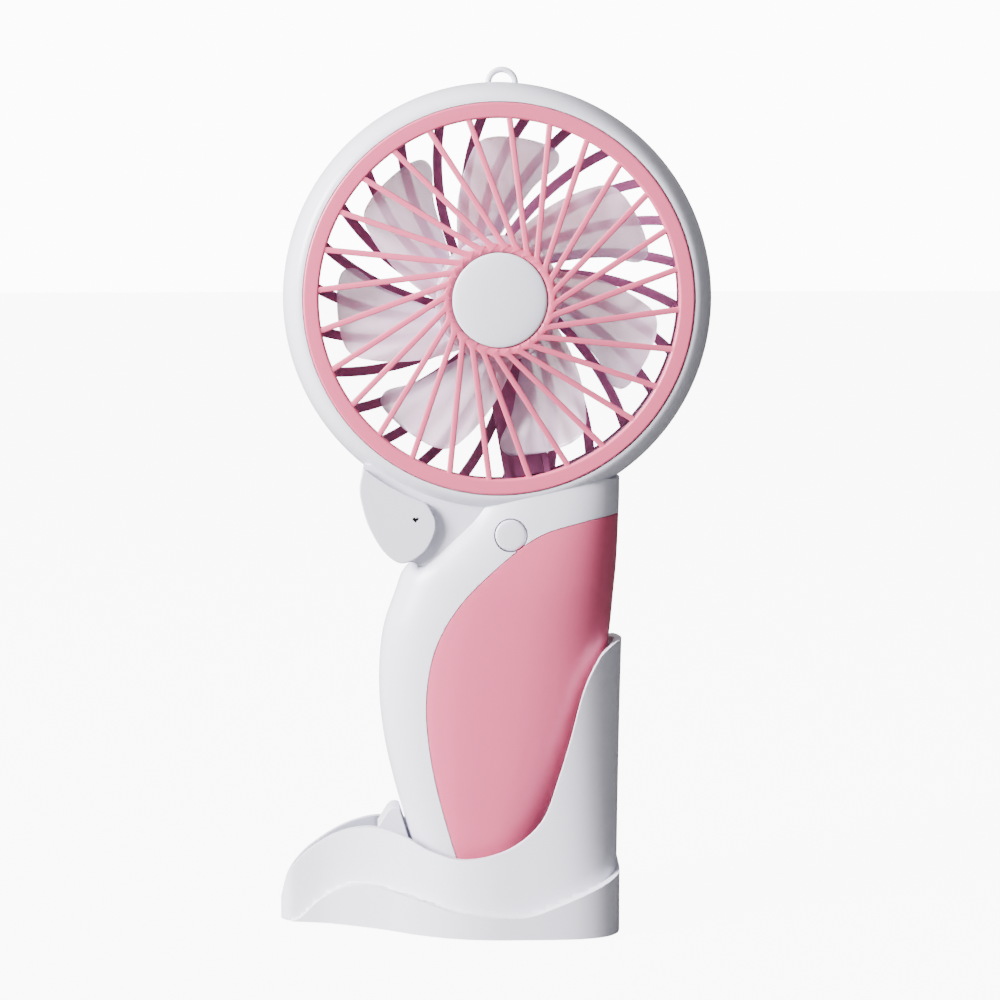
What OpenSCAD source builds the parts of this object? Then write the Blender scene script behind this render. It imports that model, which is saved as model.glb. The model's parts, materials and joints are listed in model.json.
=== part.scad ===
/* [Head] */
// Outer radius of the round head
head_r = 51; // [44:0.5:62]
// Depth of each head shell, from the parting plane to the lip round the grille
head_depth = 11; // [9:0.5:14]
// Width of the white rim seen round a grille
rim_w = 5; // [3.5:0.25:7]
// Wall thickness of the moulded shells
wall = 1.8; // [1.4:0.1:2.4]
// Thickness of the duct wall and of the grille seats
duct_wall = 1.3; // [1:0.1:2]

/* [Grilles] */
// Width of the ring round each grille
ring_w = 3.4; // [2.5:0.1:5]
// Thickness of the grille rings
ring_t = 2; // [1.6:0.1:2.2]
// Number of straight ribs in the front grille
rib_count = 28; // [18:1:32]
// Width of a front rib
rib_w = 1.4; // [1:0.1:1.8]
// Depth of a front rib
rib_t = 1.6; // [1.2:0.1:2]
// Radius of the circle that the front ribs run tangent to
rib_tangent_r = 7.7; // [5:0.1:10]
// How far the centre of the front grille stands proud of its ring
grille_rise = 2.4; // [1:0.1:3]
// Outer radius of the ring round the centre cap
hub_ring_r = 13.2; // [12.5:0.1:16]
// Radius of the white centre cap
cap_r = 11.1; // [9:0.1:11.5]
// Number of curved ribs in the rear grille
rear_rib_count = 26; // [16:1:28]
// Width of a rear rib
rear_rib_w = 2.3; // [1.4:0.1:2.6]
// Radius of the curve that each rear rib follows
rear_rib_curve = 59; // [50:1:90]
// How far the motor seat stands out behind the rear ring
rear_rise = 2.6; // [2.4:0.1:5]
// Width of the wire duct across the rear grille
strut_w = 11; // [8:0.5:13]

/* [Impeller] */
// Number of blades
blade_count = 7; // [5:1:8]
// Radius of the blade tips
blade_r = 38.2; // [30:0.2:39.5]
// Thickness of a blade
blade_t = 1; // [0.8:0.1:1.4]
// Outer radius of the impeller's cup
cup_r = 15; // [14.6:0.1:17]
// Depth of the blades along the axis
blade_depth = 8.5; // [5:0.5:9]

/* [Motor] */
// Outer radius of the motor can
motor_r = 12; // [11:0.1:12.2]
// Length of the motor can
motor_len = 11.5; // [10:0.25:12]
// Radius of the motor shaft
shaft_r = 1; // [0.75:0.05:1.25]
// Radial clearance of every running fit
running_gap = 0.03; // [0.01:0.01:0.1]

/* [Handle] */
// Length of the handle, from its lower tip to the rim of the head
handle_len = 93; // [88:0.5:112]
// Widest part of the handle
handle_w = 56; // [52:0.5:68]
// Thickness of the handle, front to back
handle_t = 26; // [25:0.5:31]
// Thickness of the coloured side panels
panel_t = 1.2; // [0.8:0.1:1.4]
// Seam between two moulded pieces
seam = 0.2; // [0.1:0.05:0.3]

/* [Button] */
// Radius of the power button
button_r = 3.7; // [3:0.1:4.5]
// Clearance round the button
button_gap = 0.3; // [0.2:0.05:0.5]
// How far the button can be pressed
button_travel = 0.5; // [0.3:0.05:0.7]

/* [Battery and board] */
// Radius of the lithium cell
cell_r = 9.2; // [7:0.1:9.3]
// Length of the lithium cell
cell_len = 65; // [50:1:65]
// Thickness of the circuit board
board_t = 1.2; // [0.8:0.1:1.6]
// Radius of the threads of the small screws
screw_r = 1; // [0.8:0.1:1.2]

/* [Dock] */
// Length of the dock along X
dock_len = 81.7; // [78:0.1:92]
// Depth of the dock at its base, front to back
dock_depth = 49; // [44:0.5:60]
// Depth of the dock at the top of its tall side
dock_top_depth = 30; // [30:0.5:40]
// Wall thickness of the dock
dock_wall = 1.7; // [1.4:0.1:2]
// Height of the tall side of the dock
dock_h = 68.8; // [62:0.2:74]
// How far the plinth stands out round the foot of the dock
plinth_step = 0.8; // [0.4:0.1:1.2]
// Thickness of the feet left showing under the base
foot_show = 0.4; // [0.2:0.1:1]
// Thickness of the dock's base plate
base_t = 1.8; // [1.5:0.1:2.5]
// Width of the steel ballast plate
ballast_w = 27; // [16:0.5:28]
// Thickness of the steel ballast plate
ballast_t = 1.2; // [0.8:0.1:1.5]

/* [Hidden] */
$fn = 96;

// Colours
white = [0.93, 0.93, 0.95];
pink = [0.90, 0.62, 0.70];

// Heights: the feet stand on z = 0, and the parting plane of the fan is y = 0.
floor_t = 1.6;
floor_z = foot_show + base_t + ballast_t + 0.2;
floor_top = floor_z + floor_t;
rest_t = 1;
rest_gap = 0.3;
handle_z = floor_top + rest_t + rest_gap;
neck_z = handle_z + handle_len;
head_z = neck_z + head_r;
handle_half = handle_t / 2;

// ---------------------------------------------------------------- curves

// Point at t (0 to 1) between b and c of a smooth curve through a, b, c and d
function curve_point(a, b, c, d, t) =
    (2 * b + (c - a) * t + (2 * a - 5 * b + 4 * c - d) * t * t
        + (3 * b - a - 3 * c + d) * t * t * t) / 2;

// Smooth curve through the points p, in steps to each stretch
function smooth(p, steps) = [
    for (i = [0 : len(p) - 2])
        for (k = [0 : steps - 1])
            curve_point(p[max(i - 1, 0)], p[i], p[i + 1], p[min(i + 2, len(p) - 1)], k / steps),
    p[len(p) - 1]
];

// Quarter of an ellipse from [x + a, 0] to [x, b]
function quarter(x, a, b, steps) =
    [for (i = [0 : steps]) let (t = 90 * i / steps) [x + a * cos(t), b * sin(t)]];

function unit(v) = v / norm(v);
function sgn(v) = v < 0 ? -1 : 1;

// Draws its children, which lie in X and Z and rise along the third axis, facing the front
// (towards -Y) from the plane y = from.
module facing_front(x = 0, z = 0, from = 0) {
    translate([x, from, z]) rotate([90, 0, 0]) children();
}

// The same, facing the back; the children's X runs the same way.
module facing_back(x = 0, z = 0, from = 0) {
    translate([x, from, z]) mirror([0, 1, 0]) rotate([90, 0, 0]) children();
}

// Closed skin over equal rings of points, with flat ends
module skin_rings(rings) {
    n = len(rings[0]);
    m = len(rings);
    polyhedron(
        points = [for (ring = rings) each ring],
        faces = [
            [for (i = [0 : n - 1]) n - 1 - i],
            for (j = [0 : m - 2])
                for (i = [0 : n - 1])
                    let (a = j * n + i, b = j * n + (i + 1) % n)
                        each [[a, b, b + n], [a, b + n, a + n]],
            [for (i = [0 : n - 1]) (m - 1) * n + i]
        ]);
}

// Round tube along the points p, with its sides kept square to the path
module lead(p, r, sides = 8) {
    path = smooth(p, 4);
    m = len(path);
    skin_rings([
        for (i = [0 : m - 1])
            let (
                along = unit(path[min(i + 1, m - 1)] - path[max(i - 1, 0)]),
                across = unit(cross(along, abs(along[1]) > 0.9 ? [1, 0, 0] : [0, 1, 0])),
                up = cross(along, across)
            )
            [for (k = [0 : sides - 1])
                let (t = 360 * k / sides) path[i] + r * (cos(t) * across - sin(t) * up)]
    ]);
}

// ---------------------------------------------------------------- handle shape

// Height, left edge, right edge and thickness of the handle, as shares of handle_len,
// handle_w, handle_w and handle_t
handle_rows = [
    [0.000, -0.170, -0.050, 0.30],
    [0.016, -0.245, 0.025, 0.58],
    [0.050, -0.300, 0.094, 0.78],
    [0.100, -0.345, 0.160, 0.91],
    [0.160, -0.380, 0.216, 0.97],
    [0.300, -0.448, 0.325, 1.00],
    [0.430, -0.494, 0.400, 1.00],
    [0.560, -0.511, 0.450, 1.00],
    [0.690, -0.495, 0.481, 1.00],
    [0.795, -0.439, 0.498, 1.00],
    [0.850, -0.402, 0.507, 0.98],
    [0.895, -0.322, 0.512, 0.95],
    [0.936, -0.251, 0.515, 0.92],
    [0.985, -0.168, 0.518, 0.88],
    [1.035, -0.115, 0.521, 0.84],
    [1.090, -0.090, 0.522, 0.80]
];
handle_fine = smooth(handle_rows, 2);
handle_lefts = [for (r = handle_fine) [handle_z + r[0] * handle_len, r[1] * handle_w]];
handle_rights = [for (r = handle_fine) [handle_z + r[0] * handle_len, r[2] * handle_w]];
handle_halves = [for (r = handle_fine) [handle_z + r[0] * handle_len, r[3] * handle_half]];
// How square the handle's section is: 2 is an ellipse
handle_square = 2.7;

// Half thickness of the handle's outer surface at x, z
function handle_surface(x, z) =
    let (
        left = lookup(z, handle_lefts),
        right = lookup(z, handle_rights),
        off = abs(x - (left + right) / 2) / ((right - left) / 2)
    )
    lookup(z, handle_halves) * pow(1 - pow(min(off, 0.98), handle_square), 1 / handle_square);

// The least half thickness within r of x, z
function least_surface(x, z, r) =
    min([for (i = [-1, 0, 1]) for (j = [-1, 0, 1]) handle_surface(x + i * r, z + j * r)]);

// Front half of the handle's section, inset by that much, and carried reach past y = 0
function half_section(row, inset, reach, steps) =
    let (
        z = handle_z + row[0] * handle_len,
        a = (row[2] - row[1]) * handle_w / 2 - inset,
        c = (row[2] + row[1]) * handle_w / 2,
        b = row[3] * handle_half - inset,
        p = 2 / handle_square
    )
    [
        [c + a, reach, z],
        for (i = [1 : steps - 1])
            let (t = 180 * i / steps)
                [c + a * sgn(cos(t)) * pow(abs(cos(t)), p), -b * pow(sin(t), p), z],
        [c - a, reach, z]
    ];

// Front half of the solid handle, inset by that much
module handle_half_solid(inset, reach = 0, steps = 14) {
    keep = [for (r = handle_fine)
        if (r[0] * handle_len >= inset * 0.8 && r[3] * handle_half > inset + 1) r];
    skin_rings([for (r = keep) half_section(r, inset, reach, steps)]);
}

// ---------------------------------------------------------------- panel outline

// Edge of the coloured panel, from the neck down, as shares of handle_w and handle_len
panel_rows = [
    [0.560, 1.002], [0.450, 0.992], [0.341, 0.979], [0.170, 0.947], [0.002, 0.873],
    [-0.168, 0.770], [-0.273, 0.655], [-0.309, 0.526], [-0.296, 0.398], [-0.254, 0.269],
    [-0.179, 0.112], [-0.130, 0.040]
];
panel_right = 0.62;

// Panel outline in X and Z, grown by that much
module panel_outline(grow = 0) {
    edge = [for (p = smooth(panel_rows, 3)) [p[0] * handle_w, handle_z + p[1] * handle_len]];
    n = len(edge);
    grown = [for (i = [0 : n - 1])
        let (along = unit(edge[min(i + 1, n - 1)] - edge[max(i - 1, 0)]))
            edge[i] + grow * [along[1], -along[0]]];
    polygon(concat(grown, [
        [grown[n - 1][0], handle_z - 5],
        [panel_right * handle_w, handle_z - 5],
        [panel_right * handle_w, grown[0][1]]
    ]));
}

module panel_prism(grow = 0) {
    facing_front(from = 2) linear_extrude(handle_half + 4) panel_outline(grow);
}

// ---------------------------------------------------------------- head shape

lip_r = head_r - rim_w + 0.2;
grille_r = lip_r - 0.5;
// How much wider the duct is than the front grille's opening
duct_relief = 2;
duct_r = grille_r - ring_w + duct_relief;
seat_depth = head_depth - 1.7;
ledge_depth = seat_depth - duct_wall;

// Half section of a head shell: radius, depth
module head_outer_profile(reach = 0) {
    polygon(concat(
        [[0, -reach], [head_r, -reach]],
        quarter(lip_r, head_r - lip_r, head_depth, 9),
        [[0, head_depth]]));
}

module head_hollow_profile(reach = 1) {
    polygon(concat(
        [[duct_r + duct_wall, -reach], [head_r - wall, -reach]],
        quarter(lip_r, head_r - lip_r - wall, ledge_depth, 7),
        [[duct_r + duct_wall, ledge_depth]]));
}

// ---------------------------------------------------------------- cheek shape

// Edge of the cheek below the head, from the left, in mm from the lowest point of the rim
cheek_rows = [
    [-31.5, 13.5], [-33.0, 7.0], [-32.4, 2.2], [-30.6, -3.2], [-27.3, -8.6], [-23.4, -11.3],
    [-19.5, -10.0], [-16.6, -7.0], [-15.0, -2.4], [-16.2, 1.4], [-19.0, 5.0]
];

module cheek_outline(steps = 3) {
    polygon([for (p = smooth(cheek_rows, steps)) [p[0], neck_z + p[1]]]);
}

// Web that joins the cheek to the handle and the head
module web_outline(inset = 0) {
    polygon([
        [-31.8 + inset, neck_z + 12], [-32.8 + inset, neck_z + 4.5],
        [-30.2 + inset, neck_z - 3 + inset / 2], [-26 + inset, neck_z - 9 + inset],
        [-22.5, neck_z - 10.6 + inset], [-12, neck_z - 12 + inset * 2],
        [2, neck_z + 2], [-8, neck_z + 10]
    ]);
}

web_depth = 8.4;
cheek_depth = 10.4;
heart_x = -19.8;
heart_z = neck_z - 0.9;

// ---------------------------------------------------------------- fixings

// Shell screws: x and share of the handle's length
screw_places = [[-19.5, 0.62], [-17.6, 0.27], [11.2, 0.32], [16.5, 0.62], [21.5, 0.93]];
boss_r = 2.7;
screw_head_r = 1.9;
screw_head_t = 1.2;
screw_len = 12;
head_seat = 5.6;

function screw_z(s) = handle_z + s[1] * handle_len;

// Inset of the inside of the handle's shells from its outer surface
lining = panel_t + wall * 0.7;

// Pegs of the coloured panels
peg_places = [[6, 0.80], [20.5, 0.80], [-8.5, 0.45], [14.5, 0.42], [-3, 0.14]];
peg_r = 1.1;

button_x = 2.7;
button_z = neck_z - 4.6;
button_face = handle_surface(button_x, button_z);

guide_r = 0.8;
heart_size = 1.5;

// Lanyard loop
loop_x = 1;
loop_r = 3.2;
loop_tube = 0.7;
loop_z = head_z + head_r - 0.3;

// Depths of the grilles, measured from the parting plane
ring_back = seat_depth + 0.02;
ring_face = ring_back + ring_t;
hub_face = ring_face - 0.4 + grille_rise;
cap_peg_r = 3;
tube_out = motor_r + 1.3;
plate_y = ring_face + rear_rise - 1.8;
motor_back = plate_y - 2.4;
motor_front = motor_back - motor_len;
rear_rib_sweep = 28;

// Wire duct across the rear grille: its front and its depth
strut_front = ring_back - 4.3;
strut_t = 5.9;

// Impeller and motor, along the axis
blade_front = 0.9 - blade_depth;
cup_front = -8.4;
cup_depth = 9.6;
can_wall = 0.7;
end_cap_t = 1.2;
bush_r = 2.4;
magnet_r = 9.3;
core_r = 8.9;
core_len = 4.2;
core_y = motor_front + 1.9;
commutator_r = 2.1;
commutator_y = core_y + core_len + 0.9;
lead_r = 0.6;

// Board, switch and port
board_y = 2.8;
board_w = 22;
board_h = 12;
board_x = -1;
board_z = neck_z - 7.2;
board_screw_x = [-9.6, 7.6];
board_screw_z = board_z - 3.8;
port_x = -4.6;
port_z = board_z + 1.6;
port_w = 8.9;
port_t = 3.2;
led_x = -10.6;

// Cell
cell_x = -3.8;
cell_z = handle_z + 12.6;

// Half shell of the handle, cheek web and head, drawn as the front one
module half_shell() {
    difference() {
        union() {
            difference() {
                handle_half_solid(0);
                panel_prism(seam);
            }
            intersection() {
                handle_half_solid(panel_t + 0.1);
                panel_prism(seam);
            }
            facing_front(0, head_z) rotate_extrude() head_outer_profile();
            facing_front() linear_extrude(web_depth) web_outline();
        }
        handle_half_solid(lining, 1, 12);
        facing_front(from = 1) linear_extrude(web_depth - wall + 1) web_outline(wall);
        facing_front(0, head_z) rotate_extrude() head_hollow_profile();
        // air duct and the seat of the grille
        facing_front(0, head_z, 1) cylinder(r = duct_r, h = head_depth + 9);
        facing_front(0, head_z, -seat_depth) cylinder(r = lip_r, h = 9);
        // slots for the legs and the foot of the lanyard loop
        for (side = [-1, 1])
            translate([loop_x + side * loop_r, 0, loop_z - 4]) cylinder(r = loop_tube + 0.05, h = 9);
        translate([loop_x, 0, loop_z - 3.4]) cube([2 * loop_r + 3, 2.2, 1.6], center = true);
        for (p = peg_places)
            facing_front(p[0], handle_z + p[1] * handle_len) cylinder(r = peg_r + 0.05, h = handle_half);
    }
}

// Round saddles that hold the cell, drawn for the front shell
module cell_saddles() {
    for (z = [0.2, 0.8])
        difference() {
            translate([cell_x - 7, -handle_half + lining - 0.4, cell_z + z * cell_len])
                cube([14, handle_half - lining - 3, 1.4]);
            translate([cell_x, 0, cell_z - 1]) cylinder(r = cell_r + 0.1, h = cell_len + 2);
        }
}

module front_shell() {
    color(white) difference() {
        union() {
            half_shell();
            cell_saddles();
            for (s = screw_places)
                facing_front(s[0], screw_z(s), -0.1)
                    cylinder(r = boss_r, h = least_surface(s[0], screw_z(s), boss_r) - panel_t - 0.3);
        }
        for (s = screw_places)
            facing_front(s[0], screw_z(s), 1) cylinder(r = screw_r + 0.02, h = screw_len - head_seat + 2);
        facing_front(button_x, button_z) cylinder(r = button_r + button_gap, h = handle_half + 5);
        // window for the light guide
        facing_front(heart_x, heart_z) cylinder(r = guide_r + 0.1, h = web_depth + 1);
    }
}

module rear_shell() {
    color(white) difference() {
        union() {
            mirror([0, 1, 0]) {
                half_shell();
                cell_saddles();
            }
            for (s = screw_places)
                facing_back(s[0], screw_z(s), 0.1)
                    cylinder(r = boss_r, h = least_surface(s[0], screw_z(s), boss_r) - panel_t - 0.3);
            for (x = board_screw_x)
                facing_back(x, board_screw_z, board_y + board_t)
                    cylinder(r = 2.2, h = least_surface(x, board_screw_z, 2.2) - board_y - board_t - panel_t - 0.3);
        }
        for (s = screw_places) {
            facing_back(s[0], screw_z(s), -1) cylinder(r = screw_r + 0.15, h = handle_half + 2);
            facing_back(s[0], screw_z(s), head_seat) cylinder(r = screw_head_r + 0.15, h = handle_half);
        }
        for (x = board_screw_x)
            facing_back(x, board_screw_z, board_y) cylinder(r = screw_r + 0.02, h = 6);
        translate([port_x - port_w / 2 - 0.15, 2, port_z - port_t / 2 - 0.15])
            cube([port_w + 0.3, handle_half + 2, port_t + 0.3]);
        // way out of the duct for the motor's leads
        rotate_strut() translate([-3.2, seat_depth - 3.2, duct_r - 2]) cube([6.4, 2.1, 5]);
    }
}

// ---------------------------------------------------------------- panels and cheek

module side_panel() {
    difference() {
        union() {
            intersection() {
                difference() {
                    handle_half_solid(0);
                    handle_half_solid(panel_t, 1);
                }
                panel_prism();
            }
            for (p = peg_places) {
                z = handle_z + p[1] * handle_len;
                deep = handle_surface(p[0], z);
                facing_front(p[0], z, -deep + lining + 0.6) cylinder(r = peg_r, h = lining + 0.2);
            }
        }
        for (s = screw_places)
            facing_front(s[0], screw_z(s)) cylinder(r = screw_head_r, h = head_seat + screw_head_t + 0.3);
    }
}

module front_panel() {
    color(pink) side_panel();
}

module rear_panel() {
    color(pink) mirror([0, 1, 0]) side_panel();
}

module cheek_cover() {
    color(white) difference() {
        facing_front(from = -web_depth - 0.02) linear_extrude(cheek_depth - web_depth) cheek_outline();
        facing_front(0, head_z) cylinder(r = head_r + 0.1, h = 30);
        facing_front(heart_x, heart_z) linear_extrude(30) heart(heart_size);
    }
}

module heart(size) {
    for (side = [-1, 1]) translate([side * size * 0.27, size * 0.2]) circle(r = size * 0.28, $fn = 24);
    polygon([[-size * 0.53, size * 0.12], [0, -size * 0.5], [size * 0.53, size * 0.12], [0, size * 0.4]]);
}

module light_guide() {
    color([0.9, 0.95, 1, 0.6]) {
        facing_front(heart_x, heart_z, 0.6) cylinder(r = guide_r, h = web_depth + 0.5);
        translate([heart_x - guide_r, 0.6, heart_z - 0.8]) cube([led_x - heart_x + guide_r - 0.8, 1.2, 1.6]);
    }
}

module lanyard_loop() {
    color(white) {
        translate([loop_x, 0, loop_z])
            rotate([90, 0, 0]) rotate_extrude(angle = 180) translate([loop_r, 0]) circle(r = loop_tube);
        for (side = [-1, 1])
            translate([loop_x + side * loop_r, 0, loop_z - 3.6]) cylinder(r = loop_tube, h = 3.6);
        translate([loop_x, 0, loop_z - 3.4]) cube([2 * loop_r + 2.4, 2, 1.4], center = true);
    }
}

// ---------------------------------------------------------------- grilles

// Straight ribs that leave a circle on a tangent, rising towards the middle
module front_rib() {
    near = sqrt(pow(hub_ring_r - 1, 2) - pow(rib_tangent_r, 2));
    far = sqrt(pow(duct_r, 2) - pow(rib_tangent_r, 2));
    slope = atan(grille_rise / (far - near));
    translate([rib_tangent_r - rib_w / 2, far, ring_face - 0.3 - rib_t])
        rotate([-slope, 0, 0]) translate([0, near - far, 0]) cube([rib_w, far - near + 0.6, rib_t]);
}

module front_grille() {
    color(pink) facing_front(0, head_z) {
        rotate_extrude() polygon([
            [grille_r - ring_w, ring_back], [grille_r, ring_back], [grille_r, ring_face - 0.5],
            [grille_r - 0.5, ring_face], [grille_r - ring_w + 0.5, ring_face],
            [grille_r - ring_w, ring_face - 0.5]]);
        for (k = [0 : rib_count - 1])
            rotate([0, 0, 84.4 - k * 360 / rib_count]) front_rib();
        rotate_extrude() polygon([
            [0, hub_face - 3.2], [hub_ring_r - 0.4, hub_face - 3.2], [hub_ring_r, hub_face - 0.5],
            [hub_ring_r - 0.5, hub_face], [cap_r + seam, hub_face], [cap_r + seam, hub_face - 1.6],
            [cap_peg_r + 0.05, hub_face - 1.6], [cap_peg_r + 0.05, hub_face - 2.8], [0, hub_face - 2.8]]);
    }
}

module hub_cap() {
    color(white) facing_front(0, head_z) rotate_extrude() polygon(concat(
        [[0, hub_face - 2.7], [cap_peg_r, hub_face - 2.7], [cap_peg_r, hub_face - 1.55],
            [cap_r, hub_face - 1.55], [cap_r, hub_face - 0.1]],
        [for (i = [1 : 6]) let (t = 90 * i / 6) [cap_r * cos(t), hub_face - 0.1 + 0.9 * sin(t)]]));
}

module rotate_strut() {
    translate([0, 0, head_z]) rotate([0, 170, 0]) children();
}

// Curved rib of the rear grille: it ends on the ring along X and leans back towards the hub
module rear_rib() {
    near = (tube_out - 0.4) * [cos(rear_rib_sweep), sin(rear_rib_sweep)];
    far = [duct_r + 0.2, 0];
    chord = norm(near - far);
    out = [far[1] - near[1], near[0] - far[0]] / chord;
    centre = (near + far) / 2 + out * sqrt(pow(rear_rib_curve, 2) - pow(chord / 2, 2));
    first = atan2(far[1] - centre[1], far[0] - centre[0]);
    last = atan2(near[1] - centre[1], near[0] - centre[0]);
    translate([far[0], 0, ring_face - 1.9]) rotate([0, atan((rear_rise - 0.4) / (far[0] - tube_out)), 0])
        translate([centre[0] - far[0], centre[1], 0]) rotate([0, 0, first])
            rotate_extrude(angle = last - first) translate([rear_rib_curve - rear_rib_w / 2, 0])
                square([rear_rib_w, 1.8]);
}

module rear_grille() {
    color(pink) {
        facing_back(0, head_z) rotate_extrude() polygon([
            [duct_r - 0.4, ring_back], [grille_r, ring_back], [grille_r, ring_face - 0.5],
            [grille_r - 0.5, ring_face], [duct_r + 0.1, ring_face],
            [duct_r - 0.4, ring_face - 0.5]]);
        // motor seat
        difference() {
            facing_back(0, head_z) rotate_extrude() polygon([
                [motor_r + 0.05, 3], [tube_out, 3], [tube_out, plate_y + 0.8], [tube_out - 0.8, plate_y + 1.6],
                [0, plate_y + 1.6], [0, plate_y], [motor_r - 0.9, plate_y], [motor_r - 0.9, motor_back + 0.02],
                [motor_r + 0.05, motor_back + 0.02]]);
            for (a = [0, 180])
                translate([0, plate_y - 3, head_z]) rotate([0, a + 80, 0])
                    translate([7.4, 0, 0]) rotate([-90, 0, 0]) cylinder(r = screw_r * 0.8 + 0.1, h = 9);
            rotate_strut() translate([-3, motor_back + 0.3, motor_r - 3]) cube([6, 1.7, 5]);
        }
        facing_back(0, head_z)
            for (k = [0 : rear_rib_count - 1])
                rotate([0, 0, 79.5 - k * 360 / rear_rib_count]) rear_rib();
        // wire duct
        rotate_strut() {
            for (x = [-strut_w / 2, strut_w / 2 - 1.4])
                translate([x, strut_front, tube_out - 0.7]) cube([1.4, strut_t, duct_r - tube_out + 0.1]);
            translate([-strut_w / 2 + 0.1, strut_front + 0.9, tube_out - 0.7])
                cube([strut_w - 0.2, 0.9, duct_r - tube_out + 0.1]);
            translate([-strut_w / 2, ring_back + 0.6, tube_out + 4])
                cube([strut_w, 1, duct_r - tube_out - 3.8]);
        }
    }
}

// ---------------------------------------------------------------- impeller and motor

// Stands its children on the plane y = from, on the fan's axis, rising towards the back
module on_axis(from) {
    translate([0, from, head_z]) rotate([-90, 0, 0]) children();
}

// Blade outline: share of the way from the cup to the tip, then the angles of its two edges
blade_rows = [
    [0.00, 80, 37], [0.10, 74, 32], [0.30, 66, 25.5], [0.57, 57.5, 20], [0.80, 51, 14.5],
    [0.92, 47.5, 14.5], [0.98, 44, 17], [1.00, 39, 22]
];

module blade(turn) {
    steps = 5;
    root = cup_r - 0.6;
    skin_rings([
        for (row = smooth(blade_rows, 2))
            let (r = root + (blade_r - root) * row[0])
            [for (side = [1, -1])
                for (i = [0 : steps])
                    let (
                        s = side > 0 ? i / steps : 1 - i / steps,
                        a = turn + row[1] + (row[2] - row[1]) * s,
                        y = blade_front + blade_depth * s - 0.9 * sin(180 * s)
                    )
                    [r * cos(a), y + side * blade_t / 2, head_z + r * sin(a)]]
    ]);
}

module impeller() {
    color([0.95, 0.93, 0.96]) {
        difference() {
            on_axis(cup_front) rotate_extrude() polygon([
                [0, 0], [cup_r - 1.2, 0], [cup_r, 1.2], [cup_r, cup_depth], [cup_r - 1.1, cup_depth],
                [cup_r - 1.1, 1.9], [cup_r - 1.6, 1.3], [3.2, 1.3], [3, 5.5], [0, 5.5]]);
            on_axis(cup_front + 1.3) cylinder(r = shaft_r + 0.005, h = 9);
        }
        for (k = [0 : blade_count - 1]) blade(-k * 360 / blade_count);
    }
}

module motor_can() {
    color([0.75, 0.76, 0.78]) on_axis(motor_front) rotate_extrude() polygon([
        [bush_r + 0.01, 0], [motor_r - 0.8, 0], [motor_r, 0.8], [motor_r, motor_len - end_cap_t],
        [motor_r - can_wall, motor_len - end_cap_t], [motor_r - can_wall, can_wall],
        [bush_r + 0.01, can_wall]]);
}

module motor_end_cap() {
    color([0.15, 0.15, 0.17]) difference() {
        on_axis(motor_back - end_cap_t) rotate_extrude() polygon([
            [bush_r + 0.01, -0.6], [bush_r + 1.4, -0.6], [bush_r + 1.4, 0.02], [motor_r - 0.05, 0.02],
            [motor_r - 0.05, end_cap_t], [bush_r + 0.01, end_cap_t]]);
        for (side = [-1, 1]) terminal_slot(side, 0.02);
    }
}

module terminal_slot(side, gap) {
    rotate_strut() translate([side * 2.4 - 0.9 - gap, motor_back - 4, 7 - gap])
        cube([1.8 + 2 * gap, 8, 0.5 + 2 * gap]);
}

module bush(from, len) {
    color([0.78, 0.62, 0.35]) on_axis(from) difference() {
        cylinder(r = bush_r, h = len);
        translate([0, 0, -1]) cylinder(r = shaft_r + running_gap, h = len + 2);
    }
}

module front_bush() {
    bush(motor_front - 0.4, 2);
}

module rear_bush() {
    bush(motor_back - end_cap_t - 0.6, end_cap_t + 0.4);
}

module motor_magnets() {
    color([0.3, 0.3, 0.32]) for (a = [0, 180])
        on_axis(core_y - 0.8) rotate([0, 0, a - 62])
            rotate_extrude(angle = 124) translate([magnet_r, 0])
                square([motor_r - can_wall - 0.02 - magnet_r, core_len + 1.6]);
}

module motor_shaft() {
    color([0.8, 0.8, 0.82]) on_axis(cup_front + 1.4) cylinder(r = shaft_r, h = motor_back - cup_front - 1.9);
}

module armature_core() {
    color([0.5, 0.5, 0.53]) on_axis(core_y) difference() {
        union() {
            cylinder(r = 3, h = core_len);
            for (k = [0 : 2]) rotate([0, 0, k * 120]) {
                translate([0, -1, 0]) cube([core_r - 1, 2, core_len]);
                rotate([0, 0, -48]) rotate_extrude(angle = 96) translate([core_r - 1.4, 0])
                    square([1.4, core_len]);
            }
        }
        translate([0, 0, -1]) cylinder(r = shaft_r + 0.005, h = core_len + 2);
    }
}

module armature_windings() {
    color([0.72, 0.38, 0.2]) on_axis(core_y) for (k = [0 : 2]) rotate([0, 0, k * 120])
        difference() {
            translate([3.15, -2.4, -0.7]) cube([core_r - 2 - 3.15, 4.8, core_len + 1.4]);
            translate([0, -1.03, -0.03]) cube([core_r, 2.06, core_len + 0.06]);
        }
}

module commutator() {
    color([0.8, 0.5, 0.3]) on_axis(commutator_y) difference() {
        cylinder(r = commutator_r, h = 1.3);
        translate([0, 0, -1]) cylinder(r = shaft_r + 0.005, h = 4);
        for (k = [0 : 2]) rotate([0, 0, 60 + k * 120]) translate([commutator_r - 0.5, -0.12, -1])
            cube([2, 0.24, 4]);
    }
}

module motor_brushes() {
    color([0.25, 0.25, 0.25]) rotate_strut() for (side = [-1, 1])
        translate([side * (commutator_r + 0.65) - 0.6, commutator_y + 0.1, -0.6])
            cube([1.2, motor_back - end_cap_t - commutator_y - 0.75, 1.2]);
}

module motor_terminals() {
    color([0.8, 0.7, 0.4]) for (side = [-1, 1])
        rotate_strut() translate([side * 2.4 - 0.9, motor_back - end_cap_t - 0.6, 7])
            cube([1.8, end_cap_t + 2, 0.5]);
}

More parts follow.
